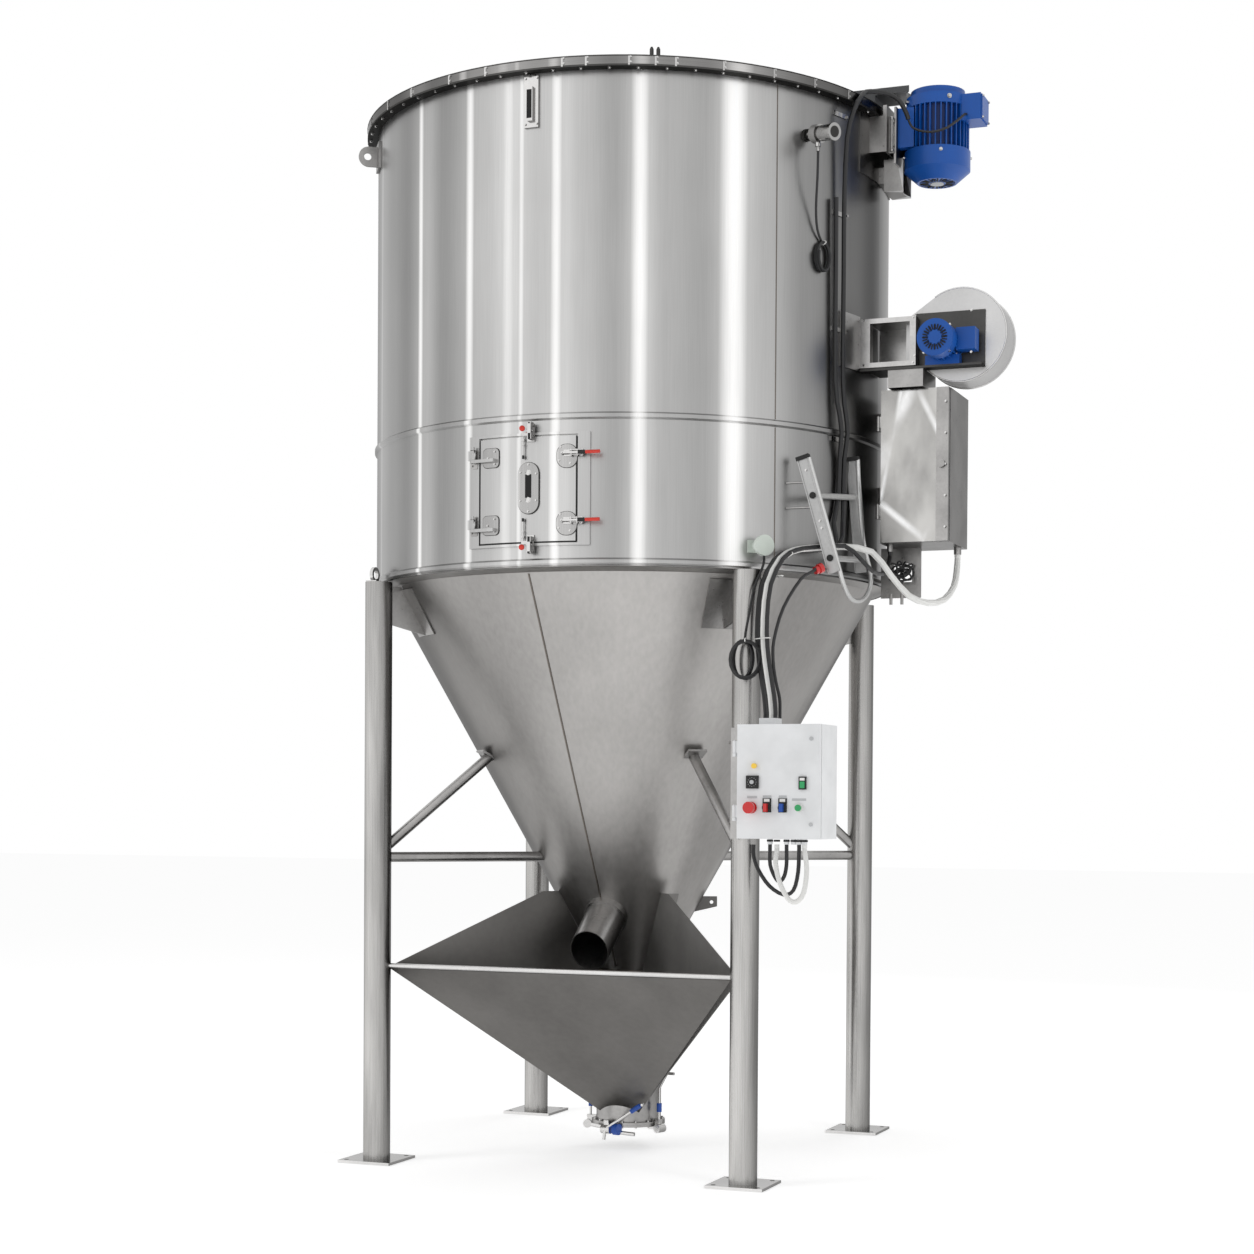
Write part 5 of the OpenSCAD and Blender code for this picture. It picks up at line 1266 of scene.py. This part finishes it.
def make_cabinet_screws():
    mesh = bmesh.new()
    front = cab_low.y + 0.0135
    for i in range(5):
        up = cab_low.z + 0.05 + i * 0.115
        bolt(mesh, (cab_high.x - 0.010, front - 0.0065, up), (0, -1, 0), 0.006)
    return finish_piece("cabinet_screws", mesh, bright_steel, "cabinet_leaf")


make_cabinet_screws()
print("cabinet door", [round(v, 3) for v in cab_low], "hem faces", hem)

# %% [markdown]
# ## The control box
# A white steel box with a yellow lamp, a timer, a lit switch and a row of four controls.
# The solids are there as plain knobs. Each gets its own colour by where it sits on the
# door, and small parts go on top: dial ring, windows, handles and blank label strips.

# %% Door positions
box_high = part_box("control_box")[1]
BOX_X = LEG_XY + LEG_D / 2.0 + 0.0052
BOX_Z = 1.236
FACE_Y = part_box("control_door")[0].y
LOW_ROW, LAMP_Z = 0.106, 0.248
SELECTOR_X, PUSH_X = (0.114, 0.170), 0.228


def near(x, z, reach):
    def inside(point):
        return math.hypot(point.x - BOX_X - x, point.z - BOX_Z - z) < reach
    return inside


def on_lever(x):
    def inside(point):
        level = abs(point.z - BOX_Z - LOW_ROW) < 0.02
        return level and abs(point.x - BOX_X - x) < 0.0075 and point.y < FACE_Y - 0.012
    return inside


def push_button(point):
    return near(PUSH_X, LOW_ROW, 0.0125)(point) and point.y < FACE_Y - 0.011


def push_bezel(point):
    return near(PUSH_X, LOW_ROW, 0.020)(point) and point.y >= FACE_Y - 0.011


repaint("switch_set", lamp_yellow, near(0.068, LAMP_Z, 0.014))
repaint("switch_set", button_red, near(0.058, LOW_ROW, 0.030))
repaint("switch_set", button_green, push_button)
repaint("switch_set", hose_white, push_bezel)
for x, paint in zip(SELECTOR_X, (button_red, grip_blue)):
    repaint("switch_set", paint, on_lever(x))
print("switches on the face at", round(FACE_Y, 4))

# %% [markdown]
# Strips, plates and lit windows are thin boxes on the door's face. A table holds them,
# one row of sizes for each, so that a new plate is a new row. The strips stay blank.

# %% Small parts on the door
# Each plate: x and z on the door, width, height, thickness and lift off the door.
DOOR_PLATES = (
    ("label_strips", label_grey, (
        (0.060, 0.142, 0.036, 0.008, 0.001, 0.0),
        (0.228, 0.134, 0.050, 0.008, 0.001, 0.0),
        (0.114, 0.144, 0.030, 0.008, 0.001, 0.0),
        (0.170, 0.144, 0.028, 0.008, 0.001, 0.0),
    )),
    ("selector_plates", rubber_black, (
        (0.114, 0.114, 0.030, 0.048, 0.004, 0.0),
        (0.170, 0.114, 0.030, 0.048, 0.004, 0.0),
    )),
    ("white_windows", hose_white, (
        (0.114, 0.131, 0.020, 0.010, 0.002, 0.003),
        (0.170, 0.131, 0.020, 0.010, 0.002, 0.003),
        (0.241, 0.203, 0.017, 0.009, 0.002, 0.0075),
    )),
    ("green_window", button_green, ((0.241, 0.184, 0.017, 0.022, 0.003, 0.0075),)),
)


def make_door_plates(name, paint, plates):
    mesh = bmesh.new()
    for x, z, width, tall, thick, lift in plates:
        low = (BOX_X + x - width / 2.0, FACE_Y - lift - thick, BOX_Z + z - tall / 2.0)
        high = (BOX_X + x + width / 2.0, FACE_Y - lift + 0.0002, BOX_Z + z + tall / 2.0)
        block(mesh, low, high)
    return finish_piece(name, mesh, paint, "box_leaf")


for name, paint, plates in DOOR_PLATES:
    make_door_plates(name, paint, plates)
print("door plates", sum(len(plates) for name, paint, plates in DOOR_PLATES))

# %% [markdown]
# The timer is a black square with a knob in a ring of twelve marks. The marks are short
# stubs placed round a circle.

# %% Timer dial
def make_dial():
    mesh = bmesh.new()
    place = Vector((BOX_X + 0.062, FACE_Y - 0.0082, BOX_Z + 0.193))
    for i in range(12):
        a = math.radians(30 * i)
        spot = place + Vector((0.015 * math.cos(a), 0, 0.015 * math.sin(a)))
        stub(mesh, spot, (0, -1, 0), 0.0022, 0.0012, 8)
    stub(mesh, place, (0, -1, 0), 0.014, 0.006, 24)
    return finish_piece("timer_dial", mesh, label_grey, "box_leaf")


make_dial()
print("timer dial set")

# %% [markdown]
# Six nuts hold the glands in the box's floor, and two locks close the door. The nuts are
# stubs with six sides.

# %% Box fittings
def make_gland_nuts():
    mesh = bmesh.new()
    for x in (0.092, 0.117, 0.152, 0.177, 0.197, 0.217):
        stub(mesh, (BOX_X + x, box_high.y - 0.099, BOX_Z - 0.004), (0, 0, -1), 0.0225, 0.007, 6)
    return finish_piece("gland_nuts", mesh, rubber_black)


def make_box_screws():
    mesh = bmesh.new()
    for z in (0.05, 0.34):
        stub(mesh, (BOX_X + 0.270, FACE_Y + 0.0005, BOX_Z + z), (0, -1, 0), 0.014, 0.003, 20)
    return finish_piece("door_locks", mesh, label_grey, "box_leaf")


make_gland_nuts()
make_box_screws()
print("control box dressed")

# %% [markdown]
# ## The clean-out end
# The foot's flange is bolted and clamped. Its bolts go round in a loop. The clamps'
# levers have blue grips, which are faces of the CAD node close to a line or a point.

# %% Blue grips
def along(start, end, reach):
    a, b = Vector(start), Vector(end)

    def inside(point):
        t = max(0.0, min(1.0, (point - a).dot(b - a) / (b - a).length_squared))
        return (point - a - (b - a) * t).length < reach
    return inside


GRIPS = (
    ((0.084, -0.180, 0.159), (0.118, -0.182, 0.183), 0.0105),
    ((0.010, -0.172, 0.084), (0.026, -0.170, 0.084), 0.0245),
    ((0.152, -0.058, 0.148), (0.152, -0.058, 0.178), 0.0120),
    ((-0.152, -0.027, 0.152), (-0.152, -0.027, 0.178), 0.0110),
)
grips = sum(repaint("cleanout_clamps", grip_blue, along(a, b, reach)) for a, b, reach in GRIPS)
print("blue faces", grips)

# %% [markdown]
# The bolts of the clean-out flange go round in a loop, heads above and nuts below, and
# the loop leaves out the three places where a clamp sits.

# %% Flange bolts
def make_flange_bolts():
    mesh = bmesh.new()
    for i in range(16):
        angle = 11 + i * 22.5
        if any(abs((angle - spot + 180) % 360 - 180) < 9 for spot in (-100, -20, -170)):
            continue
        bolt(mesh, on_drum(angle, 0.1355, 0.1055), (0, 0, 1), 0.008)
        bolt(mesh, on_drum(angle, 0.1355, 0.0885), (0, 0, -1), 0.008)
    return finish_piece("flange_bolts", mesh, bright_steel)


make_flange_bolts()
print("flange bolts set")

# %% [markdown]
# ## Cables
# The cables are CAD solids too. Clips on the drum, pale ties round the bundle and a red
# plug finish them. A tie is a closed thin loop laid round the cords.

# %% Clips and ties
CLIP_ROWS = (3.872, 3.512, 3.090, 2.690)


def make_clips():
    mesh = bmesh.new()
    for height in CLIP_ROWS:
        for angle in (-20.6, -19.0):
            low = (DRUM_R + 0.0005, -0.026, height - 0.008)
            high = (DRUM_R + 0.004, 0.026, height + 0.008)
            block(mesh, low, high, round_drum(angle))
        bolt(mesh, on_drum(-17.4, DRUM_R + 0.004, height), outward(-17.4), 0.010)
    return finish_piece("cable_clips", mesh, bright_steel)


def ellipse(centre, across, up, steps):
    """Points round a centre. The lengths of across and up are the two half widths."""
    turns = [2.0 * math.pi * i / steps for i in range(steps)]
    return [Vector(centre) + Vector(across) * math.cos(a) + Vector(up) * math.sin(a) for a in turns]


def tie(name, centre, wide, deep, across, up):
    points = ellipse(centre, Vector(across) * wide, Vector(up) * deep, 24)
    return rod(name, points, 0.004, hose_white, closed=True)


ACROSS = (0.707, -0.707, 0.0)
TIES = (
    ((0.942, -0.498, 2.2775), 0.058, 0.016, ACROSS, (0.0, 0.0, 1.0)),
    ((0.857, -0.688, 2.232), 0.058, 0.016, ACROSS, (0.45, 0.45, 0.77)),
    ((0.838, -0.745, 2.152), 0.058, 0.017, ACROSS, (0.707, 0.707, 0.0)),
    ((0.818, -0.822, 1.930), 0.058, 0.017, ACROSS, (0.707, 0.707, 0.0)),
)
make_clips()
for number, (centre, wide, deep, across, up) in enumerate(TIES):
    tie(f"bundle_tie_{number}", centre, wide, deep, across, up)
print("ties", len(TIES))

# %% [markdown]
# The solids show each coil of spare lead with a few turns. Closed rings, each a little
# smaller or larger and further out, make it as thick as a hand-wound coil.

# %% Spare turns
def spare_turns(name, centre, across, wide, tall, width, turns):
    """Closed rings that thicken a coil; each is a little smaller and further out."""
    side = Vector((across[1], -across[0], 0.0))
    for k in range(turns):
        shrink = 1.0 - 0.05 * (k % 3)
        middle = Vector(centre) + side * (k - turns / 2.0) * width * 0.7
        points = ellipse(middle, Vector(across) * wide * shrink, Vector((0, 0, tall * shrink)), 20)
        rod(f"{name}_{k}", points, width, cable_black, closed=True)


spare_turns("upper_coil_turn", (0.9095, -0.4355, 3.337), (0.413, 0.911, 0.0), 0.031, 0.051, 0.0062, 5)
spare_turns("lower_coil_turn", (0.7640, -0.8390, 1.858), (0.98, 0.20, 0.0), 0.056, 0.068, 0.0066, 6)
for name, centre, across in (("upper", (0.9095, -0.4355, 3.387), (0.911, -0.413, 0.0)),
                             ("lower", (0.7640, -0.8390, 1.925), (0.20, -0.98, 0.0))):
    tie(f"{name}_coil_tie", centre, 0.017, 0.007, across, (0.0, 0.0, 1.0))
print("coils tied")

# %% [markdown]
# The plug at the end of the loose lead is a red ring with a narrower nose.

# %% Red plug
def make_plug():
    mesh = bmesh.new()
    stub(mesh, (0.966, -0.596, 2.196), (-0.5, -0.6, -0.35), 0.036, 0.016, 24)
    stub(mesh, (0.959, -0.605, 2.191), (-0.5, -0.6, -0.35), 0.028, 0.020, 24)
    return finish_piece("red_plug", mesh, button_red)


make_plug()
print("red plug set")

# %% [markdown]
# ## The ladder's end
# Two flat rails lean against the drum, with two rungs between them and a tube that runs
# down one rail, swings round below and goes up the other. The tube is a smooth curve
# given a round section, then made a mesh. The rails stand for the CAD ladder.

# %% Ladder
NEAR_Y = -0.570
RAILS = (
    ((0.885, NEAR_Y, 2.590), (1.005, NEAR_Y, 2.180)),
    ((0.978, -0.262, 2.625), (1.014, -0.255, 2.210)),
)
RUNGS = (
    ((0.924, -0.578, 2.456), (0.990, -0.255, 2.487)),
    ((0.990, -0.578, 2.231), (1.012, -0.250, 2.257)),
)
RAIL_W, RAIL_T, RAIL_LIP = 0.044, 0.012, 0.004
TUBE = (
    (0.906, NEAR_Y, 2.592),
    (0.936, NEAR_Y, 2.490),
    (0.966, NEAR_Y, 2.388),
    (0.996, NEAR_Y, 2.285),
    (1.022, -0.568, 2.190),
    (1.034, -0.548, 2.128),
    (1.038, -0.480, 2.092),
    (1.042, -0.395, 2.088),
    (1.050, -0.310, 2.112),
    (1.054, -0.255, 2.172),
    (1.046, -0.250, 2.222),
    (1.028, -0.255, 2.282),
    (1.013, -0.258, 2.360),
    (1.005, -0.260, 2.470),
    (0.998, -0.262, 2.625),
)


def rail_place(top, low, along_rail):
    run = (Vector(low) - Vector(top)).normalized()
    lean = Matrix.Rotation(math.atan2(-run.x, -run.z), 4, "Y")
    return Matrix.Translation(Vector(top) + run * along_rail) @ lean


def make_rails():
    mesh = bmesh.new()
    for top, low in RAILS:
        length = (Vector(low) - Vector(top)).length
        place = rail_place(top, low, length / 2.0)
        web = Matrix.Diagonal((RAIL_W, RAIL_T, length, 1.0))
        lip = Matrix.Diagonal((RAIL_LIP, 0.020, length, 1.0))
        bmesh.ops.create_cube(mesh, size=1.0, matrix=place @ web)
        for side in (-0.020, 0.020):
            edge = place @ Matrix.Translation((side, 0.0, 0.0))
            bmesh.ops.create_cube(mesh, size=1.0, matrix=edge @ lip)
    return finish_piece("ladder_rails", mesh, aluminium)


def make_rungs():
    mesh = bmesh.new()
    for start, end in RUNGS:
        run = Vector(end) - Vector(start)
        stub(mesh, start, run, 0.022, run.length)
    return finish_piece("ladder_rungs", mesh, tube_alloy)


def make_rung_ends():
    mesh = bmesh.new()
    for start, _ in RUNGS:
        stub(mesh, Vector(start) - Vector((0, 0.0005, 0)), (0, -1, 0), 0.024, 0.003)
        stub(mesh, Vector(start) - Vector((0, 0.0030, 0)), (0, -1, 0), 0.014, 0.002)
    return finish_piece("ladder_rung_ends", mesh, rubber_black)


def make_rail_screws():
    mesh = bmesh.new()
    top, low = RAILS[0]
    for along_rail in (0.045, 0.235, 0.262):
        spot = rail_place(top, low, along_rail).translation
        bolt(mesh, spot - Vector((0, 0.0060, 0)), (0, -1, 0), 0.007)
    return finish_piece("ladder_rail_screws", mesh, bright_steel)


def make_rail_caps():
    mesh = bmesh.new()
    for top, low in RAILS:
        place = rail_place(top, low, -0.003)
        cap = Matrix.Diagonal((0.049, 0.025, 0.014, 1.0))
        bmesh.ops.create_cube(mesh, size=1.0, matrix=place @ cap)
    return finish_piece("rail_caps", mesh, rubber_black)


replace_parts(make_rails(), "ladder")
make_rungs()
make_rung_ends()
make_rail_screws()
make_rail_caps()
rod("ladder_tube", TUBE, 0.017, tube_alloy, smooth=True)
for number, height in enumerate((2.505, 2.415)):
    line = [(x, NEAR_Y, height) for x in (0.8225, 0.915)]
    rod(f"ladder_stay_{number}", line, 0.008, plate_steel)
print("ladder rails", len(RAILS), "rungs", len(RUNGS))

# %% [markdown]
# ## Loose loops behind the cabinet
# Spare cable is stuffed behind the cabinet's foot plate. A few closed rings, each tilted
# another way, give the tangle.


# %% Loops behind the cabinet
def tangle(centre, count):
    for k in range(count):
        points = []
        for i in range(16):
            a = 2.0 * math.pi * i / 16
            wide = (0.040 - 0.009 * (k % 4)) * math.cos(a)
            tall = (0.040 - 0.009 * ((k + 1) % 4)) * math.sin(a + 0.5 * k)
            points.append(Vector(centre) + Vector((wide, -0.004 * k + 0.4 * wide, tall)))
        rod(f"cabinet_loop_{k}", points, 0.0075, cable_black, closed=True)


tangle((1.098, 0.010, 2.234), 9)
print("loops behind the cabinet")

# %% [markdown]
# ## The upper level sensor
# It screws into a boss on the drum: a neck, a round head with the cable gland below it,
# and a thicker tube with an open end. Round stubs in a line make it, and it stands for
# the plain solid of the CAD model.

# %% Upper sensor
# Each step along the sensor: where it starts, its width and its length.
SENSOR_STEPS = ((0.020, 0.032, 0.030), (0.046, 0.066, 0.030), (0.074, 0.042, 0.014),
                (0.086, 0.056, 0.060), (0.140, 0.062, 0.010))
SENSOR_START = on_drum(-30.0, DRUM_R - 0.001, 3.760)
SENSOR_RUN = (outward(-30.0) + Vector((0.0, 0.0, -0.13))).normalized()


def make_sensor_body():
    mesh = bmesh.new()
    for start, width, length in SENSOR_STEPS:
        stub(mesh, SENSOR_START + SENSOR_RUN * start, SENSOR_RUN, width, length, 32)
    gland = SENSOR_START + SENSOR_RUN * 0.063
    stub(mesh, gland - Vector((0, 0, 0.024)), (0, 0, -1), 0.020, 0.022, 16)
    stub(mesh, gland - Vector((0, 0, 0.040)), (0, 0, -1), 0.014, 0.022, 6)
    return finish_piece("upper_sensor_body", mesh, bright_steel)


def make_sensor_dark_parts():
    mesh = bmesh.new()
    stub(mesh, SENSOR_START, SENSOR_RUN, 0.044, 0.012, 24)
    stub(mesh, SENSOR_START + SENSOR_RUN * 0.012, SENSOR_RUN, 0.036, 0.012, 6)
    stub(mesh, SENSOR_START + SENSOR_RUN * 0.149, SENSOR_RUN, 0.040, 0.002, 24)
    return finish_piece("upper_sensor_boss", mesh, dark_steel_and_painted_shade)


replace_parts(make_sensor_body(), "upper_sensor")
make_sensor_dark_parts()
print("sensor at", [round(v, 3) for v in SENSOR_START])
